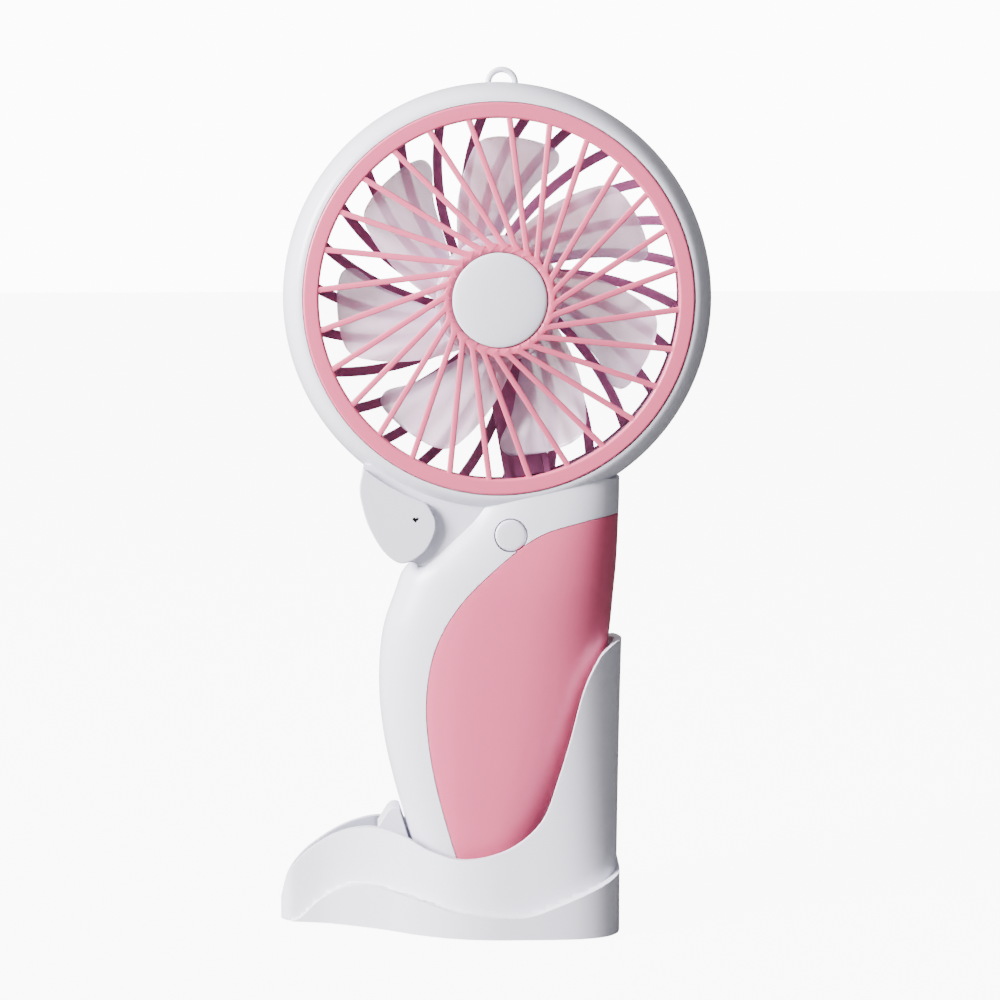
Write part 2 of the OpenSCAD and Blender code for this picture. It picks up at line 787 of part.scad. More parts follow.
module motor_screws() {
    color([0.6, 0.6, 0.63]) for (a = [0, 180])
        translate([0, motor_back + 0.05, head_z]) rotate([0, a + 80, 0]) translate([7.4, 0, 0])
            rotate([-90, 0, 0]) {
                cylinder(r = screw_r * 0.8, h = plate_y - motor_back + 1.8);
                translate([0, 0, plate_y - motor_back + 1.6]) cylinder(r = 1.5, h = 0.9);
            }
}

function strut_point(x, y, r) =
    [x * cos(170) + r * sin(170), y, head_z - x * sin(170) + r * cos(170)];

// One motor lead: out of the motor seat, down the duct across the grille and on to the board
module motor_lead(side) {
    lead([
        strut_point(side * 2.4, motor_back + 1.6, 8.1),
        strut_point(side * 1.8, motor_back + 1.3, 10.5),
        strut_point(side * 1.1, motor_back + 1.1, 13),
        strut_point(side * 0.9, ring_back - 1.2, 17.5),
        strut_point(side * 0.9, ring_back - 1.2, 28),
        strut_point(side * 0.9, ring_back - 1.6, duct_r - 2),
        strut_point(side * 0.9, seat_depth - 2.3, duct_r + 2),
        strut_point(side * 1.0, 6.6, duct_r + 6),
        [3.8 - side * 2, 5.8, board_z + 4.2],
        [3.8 - side * 2, board_y + board_t + 0.2, board_z + 4.2]
    ], lead_r);
}

module motor_lead_red() {
    color([0.8, 0.1, 0.1]) motor_lead(1);
}

module motor_lead_black() {
    color([0.1, 0.1, 0.1]) motor_lead(-1);
}

// ---------------------------------------------------------------- button and board

button_back = least_surface(button_x, button_z, button_r + 1) - lining - 0.1;

module power_button() {
    color(white) facing_front(button_x, button_z) rotate_extrude() polygon([
        [0, plunger_tip + 0.01], [1.5, plunger_tip + 0.01], [1.5, button_back - 1],
        [button_r + 0.9, button_back - 1], [button_r + 0.9, button_back - 0.1],
        [button_r, button_back - 0.1], [button_r, button_face - 0.2],
        [button_r - 0.4, button_face + 0.15], [0, button_face + 0.15]]);
}

switch_front = 2.4 - board_y;
plunger_stub = 0.3;
plunger_tip = switch_front + button_travel + plunger_stub;

module switch_plunger() {
    color([0.2, 0.2, 0.22]) facing_front(button_x, button_z, -switch_front + 0.7)
        cylinder(r = 0.9, h = plunger_tip - switch_front + 0.7);
}

module switch_body() {
    color([0.3, 0.3, 0.33]) difference() {
        translate([button_x - 3, -switch_front, button_z - 3]) cube([6, board_y + switch_front - 0.01, 6]);
        facing_front(button_x, button_z, -switch_front + 1.4) cylinder(r = 0.95, h = 4);
    }
}

module circuit_board() {
    color([0.1, 0.4, 0.25]) difference() {
        translate([board_x - board_w / 2, board_y, board_z - board_h / 2])
            cube([board_w, board_t, board_h]);
        for (x = board_screw_x)
            facing_back(x, board_screw_z, board_y - 1) cylinder(r = screw_r + 0.1, h = board_t + 2);
    }
}

module board_screws() {
    color([0.6, 0.6, 0.63]) for (x = board_screw_x)
        facing_back(x, board_screw_z, board_y - 1.01) {
            cylinder(r = screw_head_r, h = 1);
            cylinder(r = screw_r, h = 6);
        }
}

module control_chips() {
    color([0.12, 0.12, 0.13]) {
        translate([-6.8, board_y - 1.5, board_z - 0.6]) cube([5, 1.49, 4]);
        translate([-6.2, board_y - 1.1, board_z - 5.4]) cube([2.9, 1.09, 2.2]);
        translate([6.4, board_y - 1.1, board_z + 0.6]) cube([3, 1.09, 3]);
    }
}

module board_capacitors() {
    color([0.7, 0.6, 0.45]) for (x = [-2.2, 0, 2.2, 4.4])
        translate([x - 0.4, board_y - 0.9, board_z - 5.2]) cube([0.9, 0.89, 1.7]);
}

module indicator_led() {
    color([0.95, 0.95, 0.8]) translate([led_x - 0.75, board_y - 1, heart_z - 0.6]) cube([1.5, 0.99, 1.2]);
}

module charging_port() {
    port_y = board_y + board_t + 0.02;
    reach = handle_surface(port_x, port_z) - 0.3 - port_y;
    color([0.78, 0.78, 0.8]) difference() {
        translate([port_x - port_w / 2, port_y, port_z - port_t / 2]) cube([port_w, reach, port_t]);
        translate([port_x - port_w / 2 + 0.4, port_y + 1, port_z - port_t / 2 + 0.4])
            cube([port_w - 0.8, reach, port_t - 0.8]);
    }
}

module charging_port_tongue() {
    color([0.15, 0.15, 0.16]) translate([port_x - 3.2, board_y + board_t + 1.03, port_z - 0.35])
        cube([6.4, 4.8, 0.7]);
}

// ---------------------------------------------------------------- battery

sleeve_t = 0.15;

module battery_cell() {
    color([0.7, 0.7, 0.72]) translate([cell_x, 0, cell_z]) cylinder(r = cell_r - sleeve_t - 0.01, h = cell_len);
}

module battery_sleeve() {
    color([0.2, 0.45, 0.75]) translate([cell_x, 0, cell_z + 0.5]) difference() {
        cylinder(r = cell_r, h = cell_len - 1);
        translate([0, 0, -1]) cylinder(r = cell_r - sleeve_t, h = cell_len + 2);
    }
}

module battery_cap() {
    color([0.8, 0.8, 0.82]) translate([cell_x, 0, cell_z + cell_len + 0.01]) cylinder(r = 3, h = 0.5);
}

module battery_tab_top() {
    color([0.85, 0.83, 0.75]) translate([cell_x - 2, -3, cell_z + cell_len + 0.52]) cube([4, 7.2, 0.2]);
}

module battery_tab_bottom() {
    color([0.85, 0.83, 0.75]) translate([cell_x - 2, -3, cell_z - 0.21]) cube([7, 6, 0.2]);
}

module battery_lead_red() {
    color([0.8, 0.1, 0.1]) lead([
        [cell_x, 3.6, cell_z + cell_len + 1.4], [cell_x + 2, 4.8, cell_z + cell_len + 1.7],
        [cell_x + 4, 5.6, cell_z + cell_len + 3], [0.9, 5.4, board_z - 2.4],
        [0.9, board_y + board_t + 0.1, board_z - 2.4]
    ], lead_r);
}

module battery_lead_black() {
    color([0.1, 0.1, 0.1]) lead([
        [cell_x + 4, 1.2, cell_z - 0.95], [cell_x + 8, 1.4, cell_z - 1.2],
        [cell_x + cell_r + 1.2, 2.2, cell_z + 2], [cell_x + cell_r + 1.6, 3, cell_z + 0.3 * cell_len],
        [cell_x + cell_r + 1.6, 3, cell_z + 0.8 * cell_len],
        [cell_x + cell_r + 0.2, 4.6, cell_z + cell_len - 2], [3.7, 5.6, board_z - 5.6],
        [3.7, 5.4, board_z - 2.4], [3.7, board_y + board_t + 0.1, board_z - 2.4]
    ], lead_r);
}

module battery_pads() {
    color([0.25, 0.25, 0.27]) for (side = [-1, 1])
        translate([cell_x - 4, side > 0 ? cell_r + 0.05 : -cell_r - 0.05 - 0.7, cell_z + 0.5 * cell_len])
            cube([8, 0.7, 12]);
}

module shell_screws() {
    color([0.6, 0.6, 0.63]) for (s = screw_places)
        facing_front(s[0], screw_z(s), head_seat + 0.01) {
            cylinder(r = screw_r, h = screw_len);
            translate([0, 0, -screw_head_t]) cylinder(r = screw_head_r, h = screw_head_t);
        }
}

// ---------------------------------------------------------------- dock

dock_left = 29.1 - dock_len;
// How far the tall side leans out from its foot to its top
dock_lean = 1.7;

// Plan of the dock: share of its length, then half depth at the base and at the top of the
// tall side, as shares of those depths
dock_rows = [
    [0.000, 0.000, 0.000], [0.008, 0.080, 0.010], [0.030, 0.145, 0.020], [0.075, 0.180, 0.040],
    [0.140, 0.235, 0.070], [0.220, 0.360, 0.140], [0.310, 0.530, 0.320], [0.400, 0.745, 0.560],
    [0.500, 0.910, 0.840], [0.600, 0.985, 0.965], [0.710, 1.000, 1.000], [0.810, 1.000, 1.000],
    [0.880, 0.980, 0.920], [0.935, 0.920, 0.760], [0.970, 0.820, 0.570], [0.992, 0.620, 0.320],
    [1.000, 0.000, 0.000]
];
dock_fine = smooth(dock_rows, 2);

// Section of the dock's body at height z, inset by that much. It flares towards the base.
function dock_ring(z, inset) =
    let (
        flare = pow(max(0, 1 - z / dock_h), 1.5),
        left = dock_left + inset,
        right = dock_left + dock_len - plinth_step + dock_lean * z / dock_h - inset,
        base = dock_depth / 2 - plinth_step,
        top = dock_top_depth / 2,
        least = 0.1 + inset / 6,
        side = [for (r = dock_fine)
            [left + (right - left) * r[0],
                max(least, r[2] * top + (r[1] * base - r[2] * top) * flare - inset), z]],
        n = len(side)
    )
    [
        for (i = [0 : n - 1]) side[i],
        for (i = [n - 1 : -1 : 0]) [side[i][0], -side[i][1], z]
    ];

module dock_body(inset, from, to, steps = 9) {
    skin_rings([for (i = [0 : steps]) dock_ring(from + (to - from) * i / steps, inset)]);
}

// Plan of the plinth and of what lies inside it, grown by that much
module dock_plan(grow = 0) {
    rows = [for (r = dock_fine) [dock_left + r[0] * dock_len, r[1] * dock_depth / 2]];
    n = len(rows);
    side = [for (i = [0 : n - 1])
        let (along = i == 0 ? [0, 1] : i == n - 1 ? [0, -1] : unit(rows[i + 1] - rows[i - 1]))
        [rows[i][0] - grow * along[1], max(0, rows[i][1] + grow * along[0])]];
    polygon(concat(side, [for (i = [n - 2 : -1 : 1]) [side[i][0], -side[i][1]]]));
}

// Height of the dock's rim, from the left end to the tall side, as x in mm from the left end
// and share of the height
rim_rows = [
    [-0.5, 0.030], [0.3, 0.100], [2.0, 0.175], [5.2, 0.235], [8.6, 0.275], [12.5, 0.310], [17.1, 0.337],
    [22, 0.349], [26, 0.343], [30.5, 0.325], [35.7, 0.291], [42.7, 0.268], [49.8, 0.280], [56.9, 0.324],
    [62.8, 0.408], [66.4, 0.542], [69.4, 0.678], [72.6, 0.84], [76.3, 0.945], [79, 0.983], [81, 0.998]
];

module dock_rim_profile() {
    rim = [for (p = smooth(rim_rows, 2)) [dock_left + p[0], p[1] * dock_h]];
    polygon(concat([[dock_left - 4, -1], [dock_left - 4, rim[0][1]]], rim,
        [[dock_left + dock_len + 4, dock_h], [dock_left + dock_len + 4, -1]]));
}

// Height of the plinth's edge, in mm from the left end and from the floor
plinth_rows = [
    [2, 0.2], [5, 1.6], [9.3, 5.8], [15.4, 9.6], [21.4, 10.5], [26.2, 10.0], [33.2, 8.7],
    [40.3, 6.9], [45, 6.2], [52, 5.7], [59.1, 5.9], [66.2, 8.4], [75.8, 12.4], [81, 14.9]
];

module plinth_profile() {
    edge = [for (p = smooth(plinth_rows, 2)) [dock_left + p[0], p[1]]];
    right = dock_left + dock_len + 4;
    polygon(concat([[dock_left + 2, -1]], edge, [[right, 15.6], [right, -1]]));
}

module across(depth = 100) {
    translate([0, depth / 2, 0]) rotate([90, 0, 0]) linear_extrude(depth) children();
}

base_screw_places = [[0.12, 0], [0.5, 0.7], [0.5, -0.7], [0.9, 0.76], [0.9, -0.76]];

function dock_x(share) = dock_left + share * dock_len;
function dock_y(share) = share * dock_depth / 2;

cradle_top = 17;

module rest_tab() {
    top = 28;
    rise = [for (i = [0 : 6]) let (z = floor_top - 0.5 + (top - floor_top + 0.5) * i / 6)
        [lookup(max(z, handle_z + 1), handle_lefts) - 0.5, z]];
    across(9) polygon(concat([[rise[0][0] - 9, floor_top - 0.5]], rise,
        [[rise[6][0] - 1.6, top + 0.2], [rise[6][0] - 2.6, top - 0.4], [rise[6][0] - 5.2, top - 4.6]]));
}

// Ribs inside the dock that hold the handle upright
module cradle_ribs() {
    intersection() {
        dock_body(dock_wall / 2, floor_top - 0.5, cradle_top, 3);
        for (x = [-11, -3, 5])
            for (side = [-1, 1]) {
                gap = handle_surface(x, cradle_top) + 0.5;
                translate([x - 0.8, side > 0 ? gap : -dock_depth, floor_top - 0.6])
                    cube([1.6, dock_depth - gap, cradle_top - floor_top + 1]);
            }
    }
}

module dock_shell() {
    color(white) difference() {
        union() {
            difference() {
                union() {
                    intersection() {
                        dock_body(0, foot_show, dock_h + 2);
                        across() dock_rim_profile();
                    }
                    intersection() {
                        translate([0, 0, foot_show]) linear_extrude(20) dock_plan();
                        across() plinth_profile();
                    }
                }
                dock_body(dock_wall, floor_top, dock_h + 4);
                translate([0, 0, -1]) linear_extrude(floor_z + 1) dock_plan(-dock_wall - plinth_step);
            }
            rest_tab();
            cradle_ribs();
            translate([-9, -4, floor_top - 0.5]) cube([6, 8, rest_t + 0.5]);
            for (s = base_screw_places)
                translate([dock_x(s[0]), dock_y(s[1]), floor_z]) cylinder(r = 2.4, h = 4.6);
        }
        for (s = base_screw_places)
            translate([dock_x(s[0]), dock_y(s[1]), floor_z - 1]) cylinder(r = screw_r + 0.02, h = 4.8);
    }
}

module dock_base() {
    color([0.85, 0.85, 0.87]) difference() {
        translate([0, 0, foot_show]) linear_extrude(base_t) dock_plan(-dock_wall - plinth_step - 0.15);
        for (s = base_screw_places) translate([dock_x(s[0]), dock_y(s[1]), 0]) {
            cylinder(r = screw_r + 0.15, h = 9);
            cylinder(r = screw_head_r + 0.2, h = foot_show + 0.9);
        }
        for (p = feet_places)
            translate([dock_x(p[0]), dock_y(p[1]), -1]) cylinder(r = foot_r + 0.1, h = 1 + foot_t + 0.01);
    }
}

foot_r = 3.5;
foot_t = 1.2;
feet_places = [[0.24, 0], [0.62, 0.6], [0.62, -0.6], [0.92, 0.35], [0.92, -0.35]];

module dock_feet() {
    color([0.3, 0.3, 0.32]) for (p = feet_places)
        translate([dock_x(p[0]), dock_y(p[1]), 0]) cylinder(r = foot_r, h = foot_t);
}

module ballast_plate() {
    color([0.55, 0.56, 0.58])
        translate([dock_x(0.42), -ballast_w / 2, foot_show + base_t + 0.02])
            cube([dock_len * 0.53, ballast_w, ballast_t]);
}

module dock_screws() {
    color([0.6, 0.6, 0.63]) for (s = base_screw_places)
        translate([dock_x(s[0]), dock_y(s[1]), foot_show]) {
            translate([0, 0, 0.02]) cylinder(r = screw_head_r, h = 0.87);
            cylinder(r = screw_r, h = 6.4);
        }
}

front_shell();
rear_shell();
front_panel();
rear_panel();
cheek_cover();
light_guide();
lanyard_loop();
front_grille();
hub_cap();
rear_grille();
impeller();
motor_can();
motor_end_cap();
front_bush();
rear_bush();
motor_magnets();
motor_shaft();
armature_core();
armature_windings();
commutator();
motor_brushes();
motor_terminals();
motor_screws();
motor_lead_red();
motor_lead_black();
power_button();
switch_plunger();
switch_body();
circuit_board();
control_chips();
board_capacitors();
indicator_led();
charging_port();
charging_port_tongue();
board_screws();
battery_cell();
battery_sleeve();
battery_cap();
battery_tab_top();
battery_tab_bottom();
battery_lead_red();
battery_lead_black();
battery_pads();
shell_screws();
dock_shell();
dock_base();
ballast_plate();
dock_screws();
dock_feet();
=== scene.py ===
import json
from math import atan, atan2, cos, floor, pi, radians, sin, sqrt

import bpy
from mathutils import Matrix, Vector


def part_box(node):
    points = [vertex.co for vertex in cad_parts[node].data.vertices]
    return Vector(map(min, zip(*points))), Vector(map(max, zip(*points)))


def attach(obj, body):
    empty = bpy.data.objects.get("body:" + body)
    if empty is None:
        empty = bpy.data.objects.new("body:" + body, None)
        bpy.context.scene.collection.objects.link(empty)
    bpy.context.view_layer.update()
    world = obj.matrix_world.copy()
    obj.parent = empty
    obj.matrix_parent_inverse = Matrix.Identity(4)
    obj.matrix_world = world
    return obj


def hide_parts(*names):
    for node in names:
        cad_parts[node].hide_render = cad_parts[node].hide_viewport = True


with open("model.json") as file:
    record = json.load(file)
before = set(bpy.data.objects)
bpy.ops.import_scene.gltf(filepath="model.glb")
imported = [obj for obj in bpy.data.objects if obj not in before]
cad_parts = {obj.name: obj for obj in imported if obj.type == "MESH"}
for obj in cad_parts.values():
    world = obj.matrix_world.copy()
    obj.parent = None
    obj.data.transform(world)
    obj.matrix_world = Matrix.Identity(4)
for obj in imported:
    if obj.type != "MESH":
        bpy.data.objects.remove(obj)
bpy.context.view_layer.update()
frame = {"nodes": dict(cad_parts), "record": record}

bl_info = {
    "name": "Handheld Fan in a Dock",
    "version": (1, 0, 0),
    "blender": (4, 5, 0),
    "location": "3D View > Sidebar > Fan",
    "description": "Builds the visible pieces of a handheld fan and its dock around their frame",
    "category": "Add Mesh",
}

MM = 0.001
RECORD = frame["record"]


# ------------------------------------------------------------------ places from the frame

def middle(node):
    """The centre of a CAD node's box."""
    low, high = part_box(node)
    return (low + high) / 2


HEAD_X, HEAD_Z = 0.0, middle("front_grille").z
HEAD_R = 51 * MM
NECK_Z = HEAD_Z - HEAD_R
HANDLE_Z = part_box("front_shell")[0].z
HANDLE_LEN = NECK_Z - HANDLE_Z
DOCK_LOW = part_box("dock_shell")[0]


# ------------------------------------------------------------------ curves and sections

def curve_point(a, b, c, d, t):
    """A point at t between b and c on the smooth curve through a, b, c and d."""
    return tuple(
        (2 * q + (r - p) * t + (2 * p - 5 * q + 4 * r - s) * t * t
         + (3 * q - p - 3 * r + s) * t ** 3) / 2
        for p, q, r, s in zip(a, b, c, d)
    )


def along(rows, v):
    """The smooth curve through rows at v, from 0 at the first to 1 at the last."""
    last = len(rows) - 1
    i = min(int(floor(v * last)), last - 1)
    return curve_point(rows[max(i - 1, 0)], rows[i], rows[i + 1], rows[min(i + 2, last)],
                       v * last - i)


def smooth_curve(rows, steps):
    """The curve through rows, with that many points to each stretch."""
    count = (len(rows) - 1) * steps
    return [along(rows, k / count) for k in range(count + 1)]


def signed_power(value, power):
    """A power that keeps its sign."""
    return (abs(value) ** power) * (1 if value >= 0 else -1)


# Height, left edge, right edge and thickness of the handle, as shares of its size
HANDLE_ROWS = [
    (0.000, -0.170, -0.050, 0.30), (0.016, -0.245, 0.025, 0.58), (0.050, -0.300, 0.094, 0.78),
    (0.100, -0.345, 0.160, 0.91), (0.160, -0.380, 0.216, 0.97), (0.300, -0.448, 0.325, 1.00),
    (0.430, -0.494, 0.400, 1.00), (0.560, -0.511, 0.450, 1.00), (0.690, -0.495, 0.481, 1.00),
    (0.795, -0.439, 0.498, 1.00), (0.850, -0.402, 0.507, 0.98), (0.895, -0.322, 0.512, 0.95),
    (0.936, -0.251, 0.515, 0.92), (0.985, -0.168, 0.518, 0.88), (1.035, -0.115, 0.521, 0.84),
    (1.090, -0.090, 0.522, 0.80),
]
# Edge of the coloured panel, from the neck down, as shares of the handle's width and length
PANEL_ROWS = [
    (0.560, 1.002), (0.450, 0.992), (0.341, 0.979), (0.170, 0.947), (0.002, 0.873),
    (-0.168, 0.770), (-0.273, 0.655), (-0.309, 0.526), (-0.296, 0.398), (-0.254, 0.269),
    (-0.179, 0.112), (-0.130, 0.040),
]
# Edge of the cheek, in mm from the head's lowest point
CHEEK_ROWS = [
    (-31.5, 13.5), (-33.0, 7.0), (-32.4, 2.2), (-30.6, -3.2), (-27.3, -8.6), (-23.4, -11.3),
    (-19.5, -10.0), (-16.6, -7.0), (-15.0, -2.4), (-16.2, 1.4), (-19.0, 5.0),
]
# Web between the cheek, the handle and the head, in mm from the head's lowest point
WEB_ROWS = [
    (-31.8, 12), (-32.8, 4.5), (-30.2, -3), (-26, -9), (-22.5, -10.6), (-12, -12), (2, 2), (-8, 10),
]
# Dock: share of its length, then half depth at the base and at the top of its tall side
DOCK_ROWS = [
    (0.000, 0.000, 0.000), (0.008, 0.080, 0.010), (0.030, 0.145, 0.020), (0.075, 0.180, 0.040),
    (0.140, 0.235, 0.070), (0.220, 0.360, 0.140), (0.310, 0.530, 0.320), (0.400, 0.745, 0.560),
    (0.500, 0.910, 0.840), (0.600, 0.985, 0.965), (0.710, 1.000, 1.000), (0.810, 1.000, 1.000),
    (0.880, 0.980, 0.920), (0.935, 0.920, 0.760), (0.970, 0.820, 0.570), (0.992, 0.620, 0.320),
    (1.000, 0.000, 0.000),
]
# Rim of the dock: mm from its left end, and share of its height
RIM_ROWS = [
    (-0.5, 0.030), (0.3, 0.100), (2.0, 0.175), (5.2, 0.235), (8.6, 0.275), (12.5, 0.310),
    (17.1, 0.337), (22, 0.349), (26, 0.343), (30.5, 0.325), (35.7, 0.291), (42.7, 0.268),
    (49.8, 0.280), (56.9, 0.324), (62.8, 0.408), (66.4, 0.542), (69.4, 0.678), (72.6, 0.84),
    (76.3, 0.945), (79, 0.983), (81, 0.998),
]
# Edge of the plinth: mm from the dock's left end and from the floor
PLINTH_ROWS = [
    (2, 0.2), (5, 1.6), (9.3, 5.8), (15.4, 9.6), (21.4, 10.5), (26.2, 10.0), (33.2, 8.7),
    (40.3, 6.9), (45, 6.2), (52, 5.7), (59.1, 5.9), (66.2, 8.4), (75.8, 12.4), (81, 14.9),
]
# Blade: share of the way out from the cup, then the angles of its two edges
BLADE_ROWS = [
    (0.00, 80, 37), (0.10, 74, 32), (0.30, 66, 25.5), (0.57, 57.5, 20), (0.80, 51, 14.5),
    (0.92, 47.5, 14.5), (0.98, 44, 17), (1.00, 39, 22),
]


# ------------------------------------------------------------------ modelling helpers

# Points nearer than this are one point
MERGE = 1e-6
# How far each half of the housing stays from the parting plane
PARTING_GAP = 0.04 * MM


def start():
    """Leaves edit mode and deselects everything."""
    if bpy.context.object and bpy.context.object.mode != "OBJECT":
        bpy.ops.object.mode_set(mode="OBJECT")
    bpy.ops.object.select_all(action="DESELECT")


def only(piece):
    """Selects one piece and makes it active."""
    start()
    piece.select_set(True)
    bpy.context.view_layer.objects.active = piece


def named(name):
    """Names the active piece and its mesh."""
    piece = bpy.context.object
    piece.name = name
    piece.data.name = name
    return piece


def edit(piece, select="SELECT"):
    """Opens a piece in edit mode with all or nothing selected."""
    only(piece)
    bpy.ops.object.mode_set(mode="EDIT")
    bpy.ops.mesh.select_mode(type="VERT")
    bpy.ops.mesh.select_all(action=select)


def tidy(piece, fill=False):
    """Merges doubles, closes open ends where asked, and turns the faces outwards."""
    edit(piece)
    bpy.ops.mesh.remove_doubles(threshold=MERGE)
    if fill:
        bpy.ops.mesh.fill_holes(sides=0)
    bpy.ops.mesh.normals_make_consistent(inside=False)
    bpy.ops.object.mode_set(mode="OBJECT")
    return piece


def wrapped(name, columns, rows, place):
    """A grid whose points place(u, v) sets; where its sides meet they are merged into a tube."""
    start()
    bpy.ops.mesh.primitive_grid_add(x_subdivisions=columns, y_subdivisions=rows, size=1)
    piece = named(name)
    for point in piece.data.vertices:
        point.co = place(point.co.x + 0.5, point.co.y + 0.5)
    return tidy(piece, fill=True)


def lathe(name, profile, facing=-1, steps=128, centre=None):
    """Spins a closed profile of (radius, depth), in mm, about the fan's axis."""
    centre = centre or Vector((HEAD_X, 0, HEAD_Z))
    start()
    bpy.ops.mesh.primitive_circle_add(vertices=len(profile), radius=1, fill_type="NOTHING")
    piece = named(name)
    for point, (radius, depth) in zip(piece.data.vertices, profile):
        point.co = centre + Vector((radius * MM, facing * depth * MM, 0))
    edit(piece)
    bpy.ops.mesh.spin(steps=steps, angle=2 * pi, center=centre, axis=(0, 1, 0))
    return tidy(piece)


def prism(name, outline, low, high):
    """Extrudes an outline in X and Z from y = low to y = high."""
    start()
    bpy.ops.mesh.primitive_circle_add(vertices=len(outline), radius=1, fill_type="NGON")
    piece = named(name)
    for point, (x, z) in zip(piece.data.vertices, outline):
        point.co = (x, low, z)
    edit(piece)
    bpy.ops.mesh.extrude_region_move(TRANSFORM_OT_translate={"value": (0, high - low, 0)})
    return tidy(piece)


def rod(name, x, z, radius, low, high, sides=48):
    """A round bar along Y from low to high."""
    start()
    bpy.ops.mesh.primitive_cylinder_add(
        vertices=sides, radius=radius, depth=high - low, location=(x, (low + high) / 2, z),
        rotation=(pi / 2, 0, 0))
    piece = named(name)
    bpy.ops.object.transform_apply(location=True, rotation=True, scale=True)
    return piece


def block(name, low, high):
    """A box between two corners."""
    start()
    low, high = Vector(low), Vector(high)
    bpy.ops.mesh.primitive_cube_add(size=1, location=(low + high) / 2)
    piece = named(name)
    piece.scale = high - low
    bpy.ops.object.transform_apply(location=True, rotation=True, scale=True)
    return piece


def apply(piece, kind, **values):
    """Adds a modifier, sets it and applies it."""
    only(piece)
    modifier = piece.modifiers.new(kind.lower(), kind)
    for key, value in values.items():
        setattr(modifier, key, value)
    bpy.ops.object.modifier_apply(modifier=modifier.name)


def join_solids(piece, *tools, operation="UNION"):
    """Adds solids to a piece, cuts them from it or keeps what they share, and removes them."""
    for tool in tools:
        apply(piece, "BOOLEAN", operation=operation, object=tool, solver="EXACT")
        bpy.data.objects.remove(tool)
    return piece


def cut(piece, *tools):
    """Cuts solids from a piece."""
    return join_solids(piece, *tools, operation="DIFFERENCE")


def common(piece, *tools):
    """Keeps what a piece shares with each of the solids."""
    return join_solids(piece, *tools, operation="INTERSECT")


def copy_of(piece, name):
    """A copy of a piece, under its own name."""
    only(piece)
    bpy.ops.object.duplicate()
    return named(name)


def joined(name, pieces):
    """Joins pieces into the first of them."""
    start()
    for piece in pieces:
        piece.select_set(True)
    bpy.context.view_layer.objects.active = pieces[0]
    bpy.ops.object.join()
    return named(name)


def half(piece, name, side):
    """Keeps what lies on one side of the parting plane, a little away from it."""
    near, far = sorted((side * PARTING_GAP, side * 60 * MM))
    return common(copy_of(piece, name), block("side", (-0.1, near, -0.05), (0.1, far, 0.3)))


def turned(piece, angle, name):
    """A copy of a piece turned about the fan's axis."""
    result = copy_of(piece, name)
    result.data.transform(
        Matrix.Translation((0, 0, HEAD_Z)) @ Matrix.Rotation(angle, 4, "Y")
        @ Matrix.Translation((0, 0, -HEAD_Z)))
    return result


def bevel(piece, width, segments, sharp, miter="MITER_SHARP"):
    """Rounds the edges that turn by more than that many degrees."""
    apply(piece, "BEVEL", width=width, segments=segments, limit_method="ANGLE",
          angle_limit=radians(sharp), use_clamp_overlap=True, miter_outer=miter)


def soften(piece, width, segments=2, sharp=32):
    """Rounds the edges and shades the rest smooth."""
    bevel(piece, width, segments, sharp, "MITER_ARC")
    return shaded(piece)


def shaded(piece, angle=40):
    """Shades a piece smooth, except at edges that turn by more than that angle."""
    only(piece)
    bpy.ops.object.shade_smooth_by_angle(angle=radians(angle))
    modifier = piece.modifiers.new("weighted normals", "WEIGHTED_NORMAL")
    modifier.keep_sharp = True
    bpy.ops.object.modifier_apply(modifier=modifier.name)
    return piece


def finished(piece, body, slot, *nodes, look=None):
    """Gives a piece its finish, hangs it on what it moves with, and hides the nodes that it stands
    for.

    The finish is the slot's own unless look names another.
    """
    piece.data.materials.clear()
    piece.data.materials.append(bpy.data.materials[look or slot])
    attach(piece, body)
    if nodes:
        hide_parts(*nodes)


# ------------------------------------------------------------------ shapes of this fan

# How far the bed under a panel reaches past the panel's edge, into the wall round it
BED_REACH = 0.7 * MM


def handle_row(v, inset=0.0):
    """Height, left edge, right edge and half thickness of the handle's section at v."""
    share, left, right, thick = along(HANDLE_ROWS, v)
    size = bpy.context.scene.fan_housing
    return (HANDLE_Z + share * HANDLE_LEN, left * size.handle_width + inset,
            right * size.handle_width - inset, thick * size.handle_thickness / 2 - inset)


def handle_form(name, inset=0.0, low=0.0, high=1.0, columns=96, rows=110):
    """The solid of the handle, inset all round, with a section a little squarer than an ellipse."""
    power = 2 / bpy.context.scene.fan_housing.squareness

    def place(u, v):
        z, left, right, thick = handle_row(low + (high - low) * v, inset)
        turn = 2 * pi * u
        return ((left + right) / 2 + (right - left) / 2 * signed_power(cos(turn), power),
                thick * signed_power(sin(turn), power), z)

    return wrapped(name, columns, rows, place)


def panel_outline(grow=0.0):
    """The coloured panel's outline, grown by that much."""
    size = bpy.context.scene.fan_housing
    edge = [Vector((x * size.handle_width, HANDLE_Z + z * HANDLE_LEN))
            for x, z in smooth_curve(PANEL_ROWS, 6)]
    last = len(edge) - 1
    grown = []
    for i, point in enumerate(edge):
        run = (edge[min(i + 1, last)] - edge[max(i - 1, 0)]).normalized()
        grown.append(point + grow * Vector((run.y, -run.x)))
    right = size.handle_width * 0.62
    return grown + [Vector((grown[-1].x, HANDLE_Z - 5 * MM)), Vector((right, HANDLE_Z - 5 * MM)),
                    Vector((right, grown[0].y))]


def heart_place():
    """The middle of the heart-shaped window, in X and Z."""
    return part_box("light_guide")[0].x + 0.8 * MM, NECK_Z - 0.9 * MM


def quarter(x, a, b, steps):
    """A quarter of an ellipse from (x + a, 0) to (x, b)."""
    return [(x + a * cos(pi / 2 * i / steps), b * sin(pi / 2 * i / steps))
            for i in range(steps + 1)]


def mirrored(profile):
    """A profile of (radius, depth) and its mirror image below the parting plane, closed."""
    return profile + [(r, -d) for r, d in reversed(profile) if d > 0]


